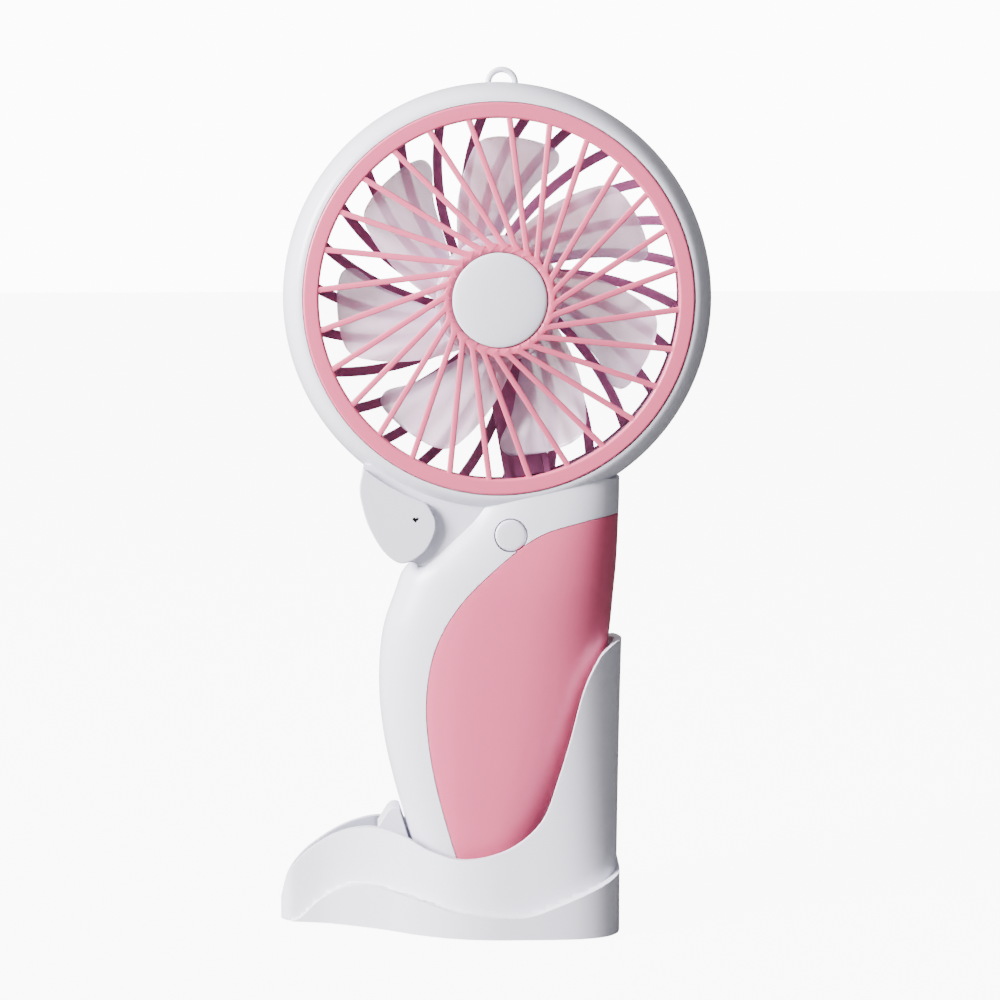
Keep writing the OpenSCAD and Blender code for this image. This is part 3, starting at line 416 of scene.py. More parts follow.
class Head:
    """Depths and radii of the head, in mm, and turns about its axis."""
    radius = HEAD_R / MM
    depth = 11.0
    rim = 5.0
    wall = 1.8
    duct_wall = 1.3
    # Radii: the lip round a grille, the grille, its opening, and the air's way behind it
    lip = radius - rim + 0.2
    grille = lip - 0.5
    opening = grille - 3.4
    duct = opening + 2.0
    # Depths from the parting plane
    seat = depth - 1.7
    ledge = seat - duct_wall
    ring_back = seat + 0.02
    ring_face = ring_back + 2
    # Front grille: how far its middle rises, the circle that its ribs run tangent to, and where
    # the first rib stands
    rise = 2.4
    rib_circle = 7.7
    first_rib = radians(5.6)
    hub_face = ring_face - 0.4 + rise
    hub = 13.2
    cap = 11.1
    # Rear grille: how far its middle rises, the radius of its ribs' curve, how far a rib sweeps
    # round, where the first one stands, and the motor's seat with its screws
    rear_rise = 2.6
    rear_curve = 59
    rear_sweep = radians(28)
    first_rear_rib = radians(-79.5)
    motor = 12.0
    tube = motor + 1.3
    plate = ring_face + rear_rise - 1.8
    screw_circle = 7.4
    screw_turns = radians(80), radians(260)
    # Wire duct: its direction, its half width, and its rails' width
    duct_turn = radians(170)
    duct_half = 5.5
    rail = 1.4


class Dock:
    """Heights and reaches of the dock, in mm."""
    height = 68.8
    floor = 4.8
    lean = 1.7
    tab_top = 28
    plinth_right = 15.6


def strut_frame():
    """Turns a shape that runs up from the fan's axis to the wire duct's direction."""
    return Matrix.Translation((0, 0, HEAD_Z)) @ Matrix.Rotation(Head.duct_turn, 4, "Y")


# ------------------------------------------------------------------ settings

class FanHousing(bpy.types.PropertyGroup):
    handle_width: bpy.props.FloatProperty(
        name="Handle width", description="Width that the handle's edges are shares of",
        default=0.056, min=0.04, max=0.07, unit="LENGTH")
    handle_thickness: bpy.props.FloatProperty(
        name="Handle thickness", description="Thickness of the handle, front to back",
        default=0.026, min=0.022, max=0.032, unit="LENGTH")
    squareness: bpy.props.FloatProperty(
        name="Squareness", description="How square the handle's section is: 2 is an ellipse",
        default=2.7, min=2, max=4)
    panel_thickness: bpy.props.FloatProperty(
        name="Panel thickness", description="Thickness of the coloured panels",
        default=0.0012, min=0.0008, max=0.002, unit="LENGTH")
    seam: bpy.props.FloatProperty(
        name="Seam", description="Gap round the coloured panels",
        default=0.0002, min=0.0001, max=0.0005, unit="LENGTH")


class FanGrilles(bpy.types.PropertyGroup):
    front_ribs: bpy.props.IntProperty(
        name="Front ribs", description="Number of straight ribs in front", default=28, min=12,
        max=40)
    rib_width: bpy.props.FloatProperty(
        name="Rib width", description="Width of a front rib", default=0.0014, min=0.001, max=0.002,
        unit="LENGTH")
    rear_ribs: bpy.props.IntProperty(
        name="Rear ribs", description="Number of curved ribs behind", default=26, min=12, max=40)
    rear_rib_width: bpy.props.FloatProperty(
        name="Rear rib width", description="Width of a rear rib", default=0.0023, min=0.001,
        max=0.003, unit="LENGTH")


class FanImpeller(bpy.types.PropertyGroup):
    blades: bpy.props.IntProperty(
        name="Blades", description="Number of blades", default=7, min=3, max=11)
    blade_radius: bpy.props.FloatProperty(
        name="Blade radius", description="Radius of the blades' tips", default=0.0382, min=0.03,
        max=0.04, unit="LENGTH")
    blade_depth: bpy.props.FloatProperty(
        name="Blade depth", description="Depth of the blades, front to back", default=0.0085,
        min=0.005, max=0.011, unit="LENGTH")


class FanDock(bpy.types.PropertyGroup):
    length: bpy.props.FloatProperty(
        name="Length", description="Length of the dock along X", default=0.0817, min=0.07, max=0.1,
        unit="LENGTH")
    depth: bpy.props.FloatProperty(
        name="Depth", description="Depth of the dock at its base", default=0.049, min=0.04,
        max=0.06, unit="LENGTH")
    top_depth: bpy.props.FloatProperty(
        name="Depth at the top", description="Depth of the dock at the top of its tall side",
        default=0.030, min=0.026, max=0.04, unit="LENGTH")
    wall: bpy.props.FloatProperty(
        name="Wall", description="Thickness of the dock's wall", default=0.0017, min=0.001,
        max=0.003, unit="LENGTH")
    step: bpy.props.FloatProperty(
        name="Plinth step", description="How far the plinth stands out", default=0.0008,
        min=0.0004, max=0.002, unit="LENGTH")


class FanFinish(bpy.types.PropertyGroup):
    white: bpy.props.FloatVectorProperty(
        name="White plastic", description="Colour of the housing and the dock", subtype="COLOR",
        default=(0.74, 0.735, 0.84), min=0, max=1)
    pink: bpy.props.FloatVectorProperty(
        name="Pink plastic", description="Colour of the panels and the front grille",
        subtype="COLOR", default=(0.68, 0.105, 0.21), min=0, max=1)
    # Rear grille: the pink plastic made darker and more purple, painted shade for a grille that
    # sits in the front grille's shadow
    rear_grille: bpy.props.FloatVectorProperty(
        name="Pink plastic with painted shade", description="Colour of the rear grille", subtype="COLOR",
        default=(0.40, 0.11, 0.26), min=0, max=1)
    blade: bpy.props.FloatVectorProperty(
        name="Blade plastic", description="Colour of the impeller", subtype="COLOR",
        default=(0.90, 0.70, 0.90), min=0, max=1)


class FanStudio(bpy.types.PropertyGroup):
    camera_place: bpy.props.FloatVectorProperty(
        name="Camera", description="Where the camera stands", subtype="TRANSLATION",
        default=(-0.030, -0.700, 0.1786), size=3)
    camera_target: bpy.props.FloatVectorProperty(
        name="Target", description="What the camera looks at", subtype="TRANSLATION",
        default=(0.0006, 0, 0.1021), size=3)
    view_height: bpy.props.FloatProperty(
        name="View height", description="Height that the picture covers at the target",
        default=0.240, min=0.1, max=1, unit="LENGTH")
    key_power: bpy.props.FloatProperty(
        name="Key light", description="Power of the large light at the left", default=60.0, min=0,
        max=100, unit="POWER")
    fill_power: bpy.props.FloatProperty(
        name="Fill light", description="Power of the soft light from the front", default=0.6,
        min=0, max=100, unit="POWER")
    sky_left: bpy.props.FloatProperty(
        name="Sky at the left", description="Strength of the light all round, at the left",
        default=1.0, min=0, max=10)
    sky_right: bpy.props.FloatProperty(
        name="Sky at the right", description="Strength of the light all round, at the right",
        default=0.1, min=0, max=10)
    backdrop: bpy.props.FloatProperty(
        name="Backdrop", description="Brightness of the white behind the fan", default=12.0, min=0,
        max=20)


# ------------------------------------------------------------------ finishes

DUST = (0.55, 0.54, 0.52, 1)


def new_group(name, inputs, outputs):
    """An empty shader node group with those sockets, and its input and output nodes."""
    tree = bpy.data.node_groups.new(name, "ShaderNodeTree")
    for direction, sockets in (("INPUT", inputs), ("OUTPUT", outputs)):
        for label, kind, default in sockets:
            socket = tree.interface.new_socket(label, in_out=direction, socket_type=kind)
            socket.default_value = default
    return tree, tree.nodes.new("NodeGroupInput"), tree.nodes.new("NodeGroupOutput")


def add(tree, kind, links=(), **values):
    """Adds a node, sets its properties and default inputs, and links sockets into it."""
    node = tree.nodes.new(kind)
    for key, value in values.items():
        if key[0].isupper() or key.isdigit():
            node.inputs[key].default_value = value
        else:
            setattr(node, key, value)
    for name, socket in links:
        tree.links.new(socket, node.inputs[name])
    return node


def noise(tree, scale, detail=2.0, roughness=0.5):
    """Noise on Object coordinates; scale is a number or a socket, in features to a metre."""
    place = add(tree, "ShaderNodeTexCoord").outputs["Object"]
    node = add(tree, "ShaderNodeTexNoise", [("Vector", place)], Detail=detail, Roughness=roughness)
    if isinstance(scale, (int, float)):
        node.inputs["Scale"].default_value = scale
    else:
        tree.links.new(scale, node.inputs["Scale"])
    return node.outputs["Fac"]


def math(tree, operation, a, b=None, clamp=False):
    """A maths node; a and b are numbers or sockets."""
    node = tree.nodes.new("ShaderNodeMath")
    node.operation, node.use_clamp = operation, clamp
    for i, value in enumerate((a, b)):
        if value is None:
            continue
        if isinstance(value, (int, float)):
            node.inputs[i].default_value = value
        else:
            tree.links.new(value, node.inputs[i])
    return node.outputs[0]


def build_grain():
    """Fine texture of a moulded or drawn surface: roughness that varies, and height for a bump."""
    tree, source, sink = new_group(
        "surface_grain",
        [("Scale", "NodeSocketFloat", 2600.0), ("Roughness", "NodeSocketFloat", 0.4),
         ("Spread", "NodeSocketFloat", 0.12)],
        [("Roughness", "NodeSocketFloat", 0.4), ("Height", "NodeSocketFloat", 0.5)])
    fine = noise(tree, source.outputs["Scale"], 3.0, 0.6)
    broad = noise(tree, 90.0, 2.0)
    both = math(tree, "ADD", math(tree, "MULTIPLY", fine, 0.5), math(tree, "MULTIPLY", broad, 0.5))
    swing = math(tree, "MULTIPLY", math(tree, "SUBTRACT", both, 0.5), source.outputs["Spread"])
    tree.links.new(math(tree, "ADD", source.outputs["Roughness"], swing, clamp=True),
                   sink.inputs["Roughness"])
    tree.links.new(fine, sink.inputs["Height"])


def build_drift():
    """Slow change of colour across a surface, as from the flow of a moulding."""
    tree, source, sink = new_group(
        "colour_drift",
        [("Colour", "NodeSocketColor", (0.8, 0.8, 0.8, 1)),
         ("Second Colour", "NodeSocketColor", (0.75, 0.75, 0.75, 1)),
         ("Scale", "NodeSocketFloat", 30.0), ("Amount", "NodeSocketFloat", 0.5)],
        [("Colour", "NodeSocketColor", (0.8, 0.8, 0.8, 1))])
    cloud = noise(tree, source.outputs["Scale"], 3.0)
    share = math(tree, "MULTIPLY", cloud, source.outputs["Amount"], clamp=True)
    mix = add(tree, "ShaderNodeMix", data_type="RGBA")
    tree.links.new(share, mix.inputs["Factor"])
    tree.links.new(source.outputs["Colour"], mix.inputs[6])
    tree.links.new(source.outputs["Second Colour"], mix.inputs[7])
    tree.links.new(mix.outputs[2], sink.inputs["Colour"])


def build_wear():
    """A mask of edges that hands and cloths polish."""
    tree, source, sink = new_group(
        "edge_wear", [("Amount", "NodeSocketFloat", 0.5)], [("Mask", "NodeSocketFloat", 0.0)])
    shape = add(tree, "ShaderNodeNewGeometry")
    raised = math(tree, "MULTIPLY", math(tree, "SUBTRACT", shape.outputs["Pointiness"], 0.52), 9.0,
                  clamp=True)
    broken = math(tree, "MULTIPLY", raised, noise(tree, 420.0, 3.0))
    tree.links.new(math(tree, "MULTIPLY", broken, source.outputs["Amount"], clamp=True),
                   sink.inputs["Mask"])


def build_dust():
    """A thin mask of dust on what faces upwards."""
    tree, source, sink = new_group(
        "settled_dust", [("Amount", "NodeSocketFloat", 0.1)], [("Mask", "NodeSocketFloat", 0.0)])
    shape = add(tree, "ShaderNodeNewGeometry")
    facing = add(tree, "ShaderNodeSeparateXYZ", [("Vector", shape.outputs["Normal"])])
    upward = math(tree, "MULTIPLY", math(tree, "SUBTRACT", facing.outputs["Z"], 0.55), 2.2,
                  clamp=True)
    specks = math(tree, "MULTIPLY", math(tree, "SUBTRACT", noise(tree, 900.0, 4.0), 0.35), 2.0,
                  clamp=True)
    mask = math(tree, "MULTIPLY", math(tree, "MULTIPLY", upward, specks), source.outputs["Amount"],
                clamp=True)
    tree.links.new(mask, sink.inputs["Mask"])


def finish(name, colour, roughness=0.4, spread=0.12, metallic=0.0, grain=2600.0, bump=0.05,
           wear=0.25, dust=0.1, drift=0.35, **sockets):
    """A new material; one that the frame brought under the same name is removed first.

    Sockets are set on the shader itself.
    """
    if name in bpy.data.materials:
        bpy.data.materials.remove(bpy.data.materials[name])
    material = bpy.data.materials.new(name)
    material.use_nodes = True
    tree = material.node_tree
    shader = tree.nodes["Principled BSDF"]
    darker = tuple(c * 0.9 for c in colour) + (1,)
    polished = tuple(min(1, c * 1.12 + 0.03) for c in colour) + (1,)

    def placed(group, **values):
        node = tree.nodes.new("ShaderNodeGroup")
        node.node_tree = bpy.data.node_groups[group]
        for key, value in values.items():
            node.inputs[key.replace("_", " ")].default_value = value
        return node

    tint = placed("colour_drift", Colour=tuple(colour) + (1,), Second_Colour=darker, Amount=drift)
    surface = placed("surface_grain", Scale=grain, Roughness=roughness, Spread=spread)
    edges = placed("edge_wear", Amount=wear)
    fallen = placed("settled_dust", Amount=dust)
    worn = add(tree, "ShaderNodeMix", data_type="RGBA")
    tree.links.new(edges.outputs["Mask"], worn.inputs["Factor"])
    tree.links.new(tint.outputs["Colour"], worn.inputs[6])
    worn.inputs[7].default_value = polished
    dusty = add(tree, "ShaderNodeMix", data_type="RGBA")
    tree.links.new(fallen.outputs["Mask"], dusty.inputs["Factor"])
    tree.links.new(worn.outputs[2], dusty.inputs[6])
    dusty.inputs[7].default_value = DUST
    tree.links.new(dusty.outputs[2], shader.inputs["Base Color"])
    rough = math(tree, "ADD", surface.outputs["Roughness"],
                 math(tree, "MULTIPLY", fallen.outputs["Mask"], 0.4), clamp=True)
    tree.links.new(rough, shader.inputs["Roughness"])
    relief = add(tree, "ShaderNodeBump", [("Height", surface.outputs["Height"])],
                 Strength=bump, Distance=0.0002)
    tree.links.new(relief.outputs["Normal"], shader.inputs["Normal"])
    shader.inputs["Metallic"].default_value = metallic
    for key, value in sockets.items():
        shader.inputs[key.replace("_", " ")].default_value = value


def build_finishes():
    """One finish for each material slot of the record, and for the rear grille a darker, more
    purple copy of the pink, which paints in its shade.
    """
    look = bpy.context.scene.fan_finish
    for build in (build_grain, build_drift, build_wear, build_dust):
        build()
    white, pink = tuple(look.white), tuple(look.pink)
    painted_shade_pink, blade = tuple(look.rear_grille), tuple(look.blade)
    finish("white_plastic", white, roughness=0.33, spread=0.1, grain=3200, bump=0.05, drift=0.12)
    finish("dock_white_plastic", white, roughness=0.42, spread=0.14, grain=2400, bump=0.12,
           drift=0.16, dust=0.12)
    finish("pink_plastic", pink, roughness=0.4, spread=0.12, grain=3000, bump=0.09, drift=0.14)
    # The rear grille's pink, darker and more purple: painted shade, not a plastic of its own
    finish("pink_plastic_painted_shade", painted_shade_pink, roughness=0.4, spread=0.12, grain=3000, bump=0.09, drift=0.14)
    finish("blade_plastic", blade, roughness=0.28, spread=0.1, grain=2600, bump=0.04, drift=0.1,
           Alpha=0.80)
    finish("clear_plastic", (0.10, 0.09, 0.09), roughness=0.15, wear=0, dust=0, bump=0.02)
    finish("steel", (0.62, 0.63, 0.65), roughness=0.28, metallic=1, grain=1500, bump=0.04)
    finish("zinc_screw", (0.55, 0.56, 0.58), roughness=0.35, metallic=1, grain=1800, bump=0.08)
    finish("ballast_steel", (0.35, 0.36, 0.38), roughness=0.5, metallic=1, grain=900, bump=0.2)
    finish("black_plastic", (0.03, 0.03, 0.035), roughness=0.5, bump=0.15)
    finish("bronze", (0.55, 0.38, 0.17), roughness=0.42, metallic=1, grain=4000, bump=0.2)
    finish("magnet", (0.08, 0.08, 0.085), roughness=0.55, metallic=0.4, grain=3500, bump=0.3)
    finish("lamination", (0.32, 0.33, 0.36), roughness=0.4, metallic=1, grain=5000, bump=0.2)
    finish("copper", (0.72, 0.30, 0.14), roughness=0.25, metallic=1, grain=3800, bump=0.25)
    finish("carbon", (0.04, 0.04, 0.045), roughness=0.6, metallic=0.2, bump=0.2)
    finish("red_lead", (0.55, 0.03, 0.03), roughness=0.4, bump=0.1)
    finish("black_lead", (0.025, 0.025, 0.028), roughness=0.4, bump=0.1)
    finish("board_green", (0.02, 0.17, 0.08), roughness=0.3, grain=1200, bump=0.12)
    finish("ceramic", (0.55, 0.44, 0.28), roughness=0.45, bump=0.1)
    finish("led", (0.85, 0.85, 0.70), roughness=0.2, bump=0.02)
    finish("cell_can", (0.60, 0.60, 0.62), roughness=0.25, metallic=1, bump=0.04)
    finish("cell_sleeve", (0.05, 0.18, 0.45), roughness=0.3, bump=0.05)
    finish("nickel", (0.66, 0.63, 0.55), roughness=0.3, metallic=1, bump=0.08)
    finish("foam", (0.05, 0.05, 0.055), roughness=0.95, grain=2200, bump=0.8)
    finish("foot_rubber", (0.42, 0.42, 0.44), roughness=0.75, grain=1800, bump=0.2)
    slots = {row["node"]: row["material_slot"] for row in RECORD["subparts"]}
    for name, node in frame["nodes"].items():
        node.data.materials.clear()
        node.data.materials.append(bpy.data.materials[slots[name]])


# ------------------------------------------------------------------ operators

class MakeFinishes(bpy.types.Operator):
    """Builds the finishes and gives every node of the frame its own"""
    bl_idname = "fan.make_finishes"
    bl_label = "Finishes"

    def execute(self, context):
        build_finishes()
        return {"FINISHED"}


class MakeHousing(bpy.types.Operator):
    """Builds the two halves of the housing: handle, neck, cheek web and head"""
    bl_idname = "fan.make_housing"
    bl_label = "Housing"

    def execute(self, context):
        size = context.scene.fan_housing
        gap = size.panel_thickness + 0.1 * MM
        body = cut(handle_form("housing"),
                   prism("window", panel_outline(size.seam), -20 * MM, 20 * MM))
        bed = common(handle_form("bed", gap),
                     prism("wide window", panel_outline(BED_REACH), -21 * MM, 21 * MM))
        web = prism("web", self.web(0), -8.4 * MM, 8.4 * MM)
        join_solids(body, bed, web)
        across = [rod("way", HEAD_X, HEAD_Z, (Head.duct + 0.65) * MM, -30 * MM, 30 * MM, sides=150)]
        across += [rod("seat", HEAD_X, HEAD_Z, (Head.lip + 0.15) * MM,
                       *sorted((side * (Head.seat - 0.1) * MM, side * 30 * MM)), sides=150)
                   for side in (-1, 1)]
        cut(body, *across)
        join_solids(body, lathe("head", self.head_profile(), steps=160))
        lining = size.panel_thickness + Head.wall * 0.7 * MM
        hollow = handle_form("hollow", lining, low=0.07, columns=48, rows=50)
        inner_web = prism("inner web", self.web(Head.wall), -6.6 * MM, 6.6 * MM)
        cavity = lathe("cavity", self.cavity_profile(), steps=96)
        slot = block("slot", (-6 * MM, -1.1 * MM, HEAD_Z + HEAD_R - 5 * MM),
                     (8 * MM, 1.1 * MM, HEAD_Z + HEAD_R - 2.6 * MM))
        legs = []
        for side in (-1, 1):
            start()
            bpy.ops.mesh.primitive_cylinder_add(
                vertices=24, radius=0.78 * MM, depth=9 * MM,
                location=((1 + side * 3.2) * MM, 0, HEAD_Z + HEAD_R - 1 * MM))
            legs.append(named("leg"))
            bpy.ops.object.transform_apply()
        cut(body, hollow, inner_web, cavity, slot, *legs)
        front = half(body, "housing_front", -1)
        rear = half(body, "housing_rear", 1)
        bpy.data.objects.remove(body)
        self.front_holes(front)
        self.rear_holes(rear)
        for piece, node in ((front, "front_shell"), (rear, "rear_shell")):
            soften(piece, 0.22 * MM, 2)
            finished(piece, "fan", "white_plastic", node)
        return {"FINISHED"}

    def head_profile(self):
        edge = quarter(Head.lip, Head.radius - Head.lip, Head.depth, 22)
        return mirrored([(Head.radius, 0.001)] + edge[1:]
                        + [(Head.lip, Head.seat), (Head.duct, Head.seat)])

    def cavity_profile(self):
        edge = quarter(Head.lip, Head.radius - Head.lip - Head.wall, Head.ledge, 10)
        return mirrored([(Head.radius - Head.wall, 0.001)] + edge[1:]
                        + [(Head.duct + Head.duct_wall, Head.ledge)])

    def web(self, inset):
        return [((x + (inset if x < -20 else 0)) * MM, NECK_Z + (z + (inset if z < -2 else 0)) * MM)
                for x, z in smooth_curve(WEB_ROWS, 4)]

    def front_holes(self, front):
        low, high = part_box("power_button")
        radius = (high.x - low.x) / 2 - 0.6 * MM
        button = middle("power_button")
        cut(front,
            rod("button hole", button.x, button.z, radius, -20 * MM, -0.5 * MM, sides=64),
            rod("guide hole", *heart_place(), 0.9 * MM, -12 * MM, -0.5 * MM))

    def rear_holes(self, rear):
        low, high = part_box("charging_port")
        gap = Vector((0.15 * MM, 0, 0.15 * MM))
        tools = [block("port hole", low - gap, high + gap + Vector((0, 5 * MM, 0)))]
        for x, share in ((-19.5, 0.62), (-17.6, 0.27)):
            z = HANDLE_Z + share * HANDLE_LEN
            tools.append(rod("screw seat", x * MM, z, 2.05 * MM, 5.6 * MM, 20 * MM))
        cut(rear, *tools)


class MakePanels(bpy.types.Operator):
    """Builds the two coloured panels of the handle"""
    bl_idname = "fan.make_panels"
    bl_label = "Panels"

    def execute(self, context):
        size = context.scene.fan_housing
        skin = common(handle_form("panels"), prism("edge", panel_outline(), -20 * MM, 20 * MM))
        cut(skin, handle_form("inside", size.panel_thickness, low=0.02, columns=64, rows=90))
        for name, side, node in (("panel_front", -1, "front_panel"),
                                 ("panel_rear", 1, "rear_panel")):
            panel = soften(half(skin, name, side), 0.14 * MM, 2)
            finished(panel, "fan", "pink_plastic", node)
        bpy.data.objects.remove(skin)
        return {"FINISHED"}


class MakeCheek(bpy.types.Operator):
    """Builds the rounded cheek cover beside the neck"""
    bl_idname = "fan.make_cheek"
    bl_label = "Cheek cover"

    def execute(self, context):
        low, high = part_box("cheek_cover")
        outline = [(x * MM, NECK_Z + z * MM) for x, z in smooth_curve(CHEEK_ROWS, 8)]
        cheek = prism("cheek", outline, low.y, high.y)
        bevel(cheek, 0.9 * MM, 5, 50)
        x, z = heart_place()
        heart = [(x + MM * 0.048 * 16 * sin(t) ** 3,
                  z + MM * 0.048 * (13 * cos(t) - 5 * cos(2 * t) - 2 * cos(3 * t) - cos(4 * t)))
                 for t in (2 * pi * k / 40 for k in range(40))]
        cut(cheek,
            rod("head side", HEAD_X, HEAD_Z, HEAD_R + 0.1 * MM, -30 * MM, 0, sides=192),
            prism("heart", heart, low.y - MM, high.y + MM))
        shaded(cheek, 35)
        finished(cheek, "fan", "white_plastic", "cheek_cover")
        return {"FINISHED"}


class MakeLoop(bpy.types.Operator):
    """Builds the lanyard loop on top of the head"""
    bl_idname = "fan.make_loop"
    bl_label = "Lanyard loop"

    def execute(self, context):
        low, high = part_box("lanyard_loop")
        centre = Vector(((low.x + high.x) / 2, 0, HEAD_Z + HEAD_R - 0.3 * MM))
        radius, tube, leg = 3.2 * MM, 0.7 * MM, 3.4 * MM

        def place(u, v):
            reach = leg + pi * radius + leg
            s = v * reach
            if s < leg:
                spot, out = Vector((radius, 0, s - leg)), Vector((1, 0, 0))
            elif s > reach - leg:
                spot, out = Vector((-radius, 0, reach - leg - s)), Vector((-1, 0, 0))
            else:
                turn = (s - leg) / radius
                out = Vector((cos(turn), 0, sin(turn)))
                spot = out * radius
            around = 2 * pi * u
            return centre + spot + tube * (out * cos(around) + Vector((0, sin(around), 0)))

        loop = wrapped("lanyard_ring", 24, 64, place)
        foot = block("foot", (centre.x - 4.4 * MM, -1 * MM, centre.z - 4.1 * MM),
                     (centre.x + 4.4 * MM, 1 * MM, centre.z - 2.7 * MM))
        join_solids(loop, foot)
        soften(loop, 0.15 * MM, 2, 50)
        finished(loop, "fan", "white_plastic", "lanyard_loop")
        return {"FINISHED"}


class MakeGrilles(bpy.types.Operator):
    """Builds the front grille with its straight ribs and the rear grille with its curved ones"""
    bl_idname = "fan.make_grilles"
    bl_label = "Grilles"

    def execute(self, context):
        self.front(context.scene.fan_grilles)
        self.rear(context.scene.fan_grilles)
        return {"FINISHED"}

    def ring_profile(self, inner):
        outer_r = Head.lip - 0.16
        corner = [(sin(radians(a)), cos(radians(a))) for a in (0, 22, 45, 68, 90)]
        outer = [(outer_r - 0.5 + 0.5 * s, Head.ring_face - 0.5 + 0.5 * c) for s, c in corner]
        inside = [(inner + 0.6 - 0.6 * s, Head.ring_face - 0.6 + 0.6 * c) for s, c in corner]
        return [(inner, Head.ring_back), (outer_r, Head.ring_back)] + outer[::-1] + inside

    def front(self, size):
        near = sqrt((Head.hub - 1) ** 2 - Head.rib_circle ** 2)
        far = sqrt(Head.duct ** 2 - Head.rib_circle ** 2)
        length = far - near + 0.5
        slope = atan(Head.rise / (far - near))
        half_width = size.rib_width / 2 / MM
        top = Head.ring_face - 0.3

        def place(u, v):
            s = v * length
            root = max(0.0, 1 - s / 1.3), max(0.0, 1 - (length - s) / 1.9)
            width = half_width * (1 + 0.9 * root[0] ** 2 + 1.3 * root[1] ** 2)
            around = 2 * pi * u + pi / 4
            x = width * max(-1, min(1, 1.25 * cos(around)))
            drop = 0.8 - 0.8 * max(-1, min(1, 1.3 * sin(around)))
            rise = (far - near - s) * sin(slope)
            return Vector(((Head.rib_circle + x) * MM, -(top + rise - drop) * MM,
                           HEAD_Z + (near + s) * MM))

        rib = wrapped("rib", 16, 36, place)
        ribs = [turned(rib, Head.first_rib + 2 * pi * k / size.front_ribs, "rib")
                for k in range(size.front_ribs)]
        bpy.data.objects.remove(rib)
        ribs = joined("grille_front", ribs)
        hub = Head.hub_face
        middle_ring = lathe("hub ring", [
            (0.01, hub - 3.2), (12.8, hub - 3.2), (13.2, hub - 0.8), (13.05, hub - 0.25),
            (12.6, hub), (11.75, hub), (11.3, hub - 0.35), (11.3, hub - 1.6), (3.05, hub - 1.6),
            (3.05, hub - 2.8), (0.01, hub - 2.8)])
        ring = lathe("ring", self.ring_profile(Head.opening), steps=160)
        join_solids(ribs, ring, middle_ring)
        soften(ribs, 0.1 * MM, 1, 60)
        finished(ribs, "fan", "pink_plastic", "front_grille")

    def rear(self, size):
        near = Vector((cos(Head.rear_sweep), sin(Head.rear_sweep))) * (Head.tube - 0.4)
        far = Vector((Head.duct + 0.2, 0))
        chord = (near - far).length
        out = Vector((far.y - near.y, near.x - far.x)) / chord
        centre = (near + far) / 2 + out * sqrt(Head.rear_curve ** 2 - (chord / 2) ** 2)
        first = atan2(far.y - centre.y, far.x - centre.x)
        last = atan2(near.y - centre.y, near.x - centre.x)
        half_width = size.rear_rib_width / 2 / MM
        slope = (Head.rear_rise - 0.4) / (far.x - Head.tube)

        def place(u, v):
            turn = first + (last - first) * v
            around = 2 * pi * u + pi / 4
            radius = Head.rear_curve + half_width * max(-1, min(1, 1.2 * cos(around)))
            x, z = centre.x + radius * cos(turn), centre.y + radius * sin(turn)
            depth = Head.ring_face - 1.0 + (far.x - x) * slope
            depth += 0.9 * max(-1, min(1, 1.25 * sin(around)))
            return Vector((x * MM, depth * MM, HEAD_Z + z * MM))

        rib = wrapped("rear rib", 16, 28, place)
        ribs = [turned(rib, Head.first_rear_rib + 2 * pi * k / size.rear_ribs, "rear rib")
                for k in range(size.rear_ribs)]
        bpy.data.objects.remove(rib)
        ribs = joined("grille_rear", ribs)
        ring = lathe("ring", self.ring_profile(Head.duct - 0.4), facing=1, steps=160)
        motor, tube, plate = Head.motor, Head.tube, Head.plate
        back = plate - 2.4
        seat = lathe("seat", [
            (motor + 0.05, 3), (tube, 3), (tube, plate + 0.8), (tube - 0.25, plate + 1.35),
            (tube - 0.8, plate + 1.6), (0.01, plate + 1.6), (0.01, plate), (motor - 0.9, plate),
            (motor - 0.9, back + 0.02), (motor + 0.05, back + 0.02)], facing=1)
        holes = []
        for angle in Head.screw_turns:
            spot = (Matrix.Translation((0, 0, HEAD_Z)) @ Matrix.Rotation(angle, 4, "Y")
                    @ Vector((Head.screw_circle * MM, 0, 0)))
            holes.append(rod("screw hole", spot.x, spot.z, 0.9 * MM, (plate - 3) * MM,
                             (plate + 6) * MM, sides=24))
        window = block("window", (-3 * MM, (back + 0.3) * MM, (motor - 3) * MM),
                       (3 * MM, (back + 2) * MM, (motor + 2) * MM))
        window.data.transform(strut_frame())
        cut(seat, *holes, window)
        rails = self.wire_duct()
        join_solids(ribs, ring, seat, *rails)
        soften(ribs, 0.12 * MM, 2, 50)
        # The rear grille wears the darker, more purple copy of the pink: painted shade, as it sits
        # behind the front grille
        finished(ribs, "fan", "pink_plastic", "rear_grille", look="pink_plastic_painted_shade")

    def wire_duct(self):
        """Two rails with a plate in front of the leads and one behind, across the rear grille."""
        half_width, back = Head.duct_half, Head.ring_back
        bars = [("rail", x, x + Head.rail, back - 4.3, back + 1.58,
                 Head.tube - 0.7, Head.duct - 0.6)
                for x in (-half_width, half_width - Head.rail)]
        bars += [("front plate", 0.2 - half_width, half_width - 0.2, back - 3.4, back - 2.5,
                  Head.tube - 0.65, Head.duct - 0.65),
                 ("rear plate", 0.05 - half_width, half_width - 0.05, back + 0.6, back + 1.55,
                  Head.tube + 4, Head.duct + 0.2)]
        made = []
        for name, left, right, front, rear, inner, outer in bars:
            bar = block(name, (left * MM, front * MM, inner * MM),
                        (right * MM, rear * MM, outer * MM))
            bar.data.transform(strut_frame())
            made.append(bar)
        return made


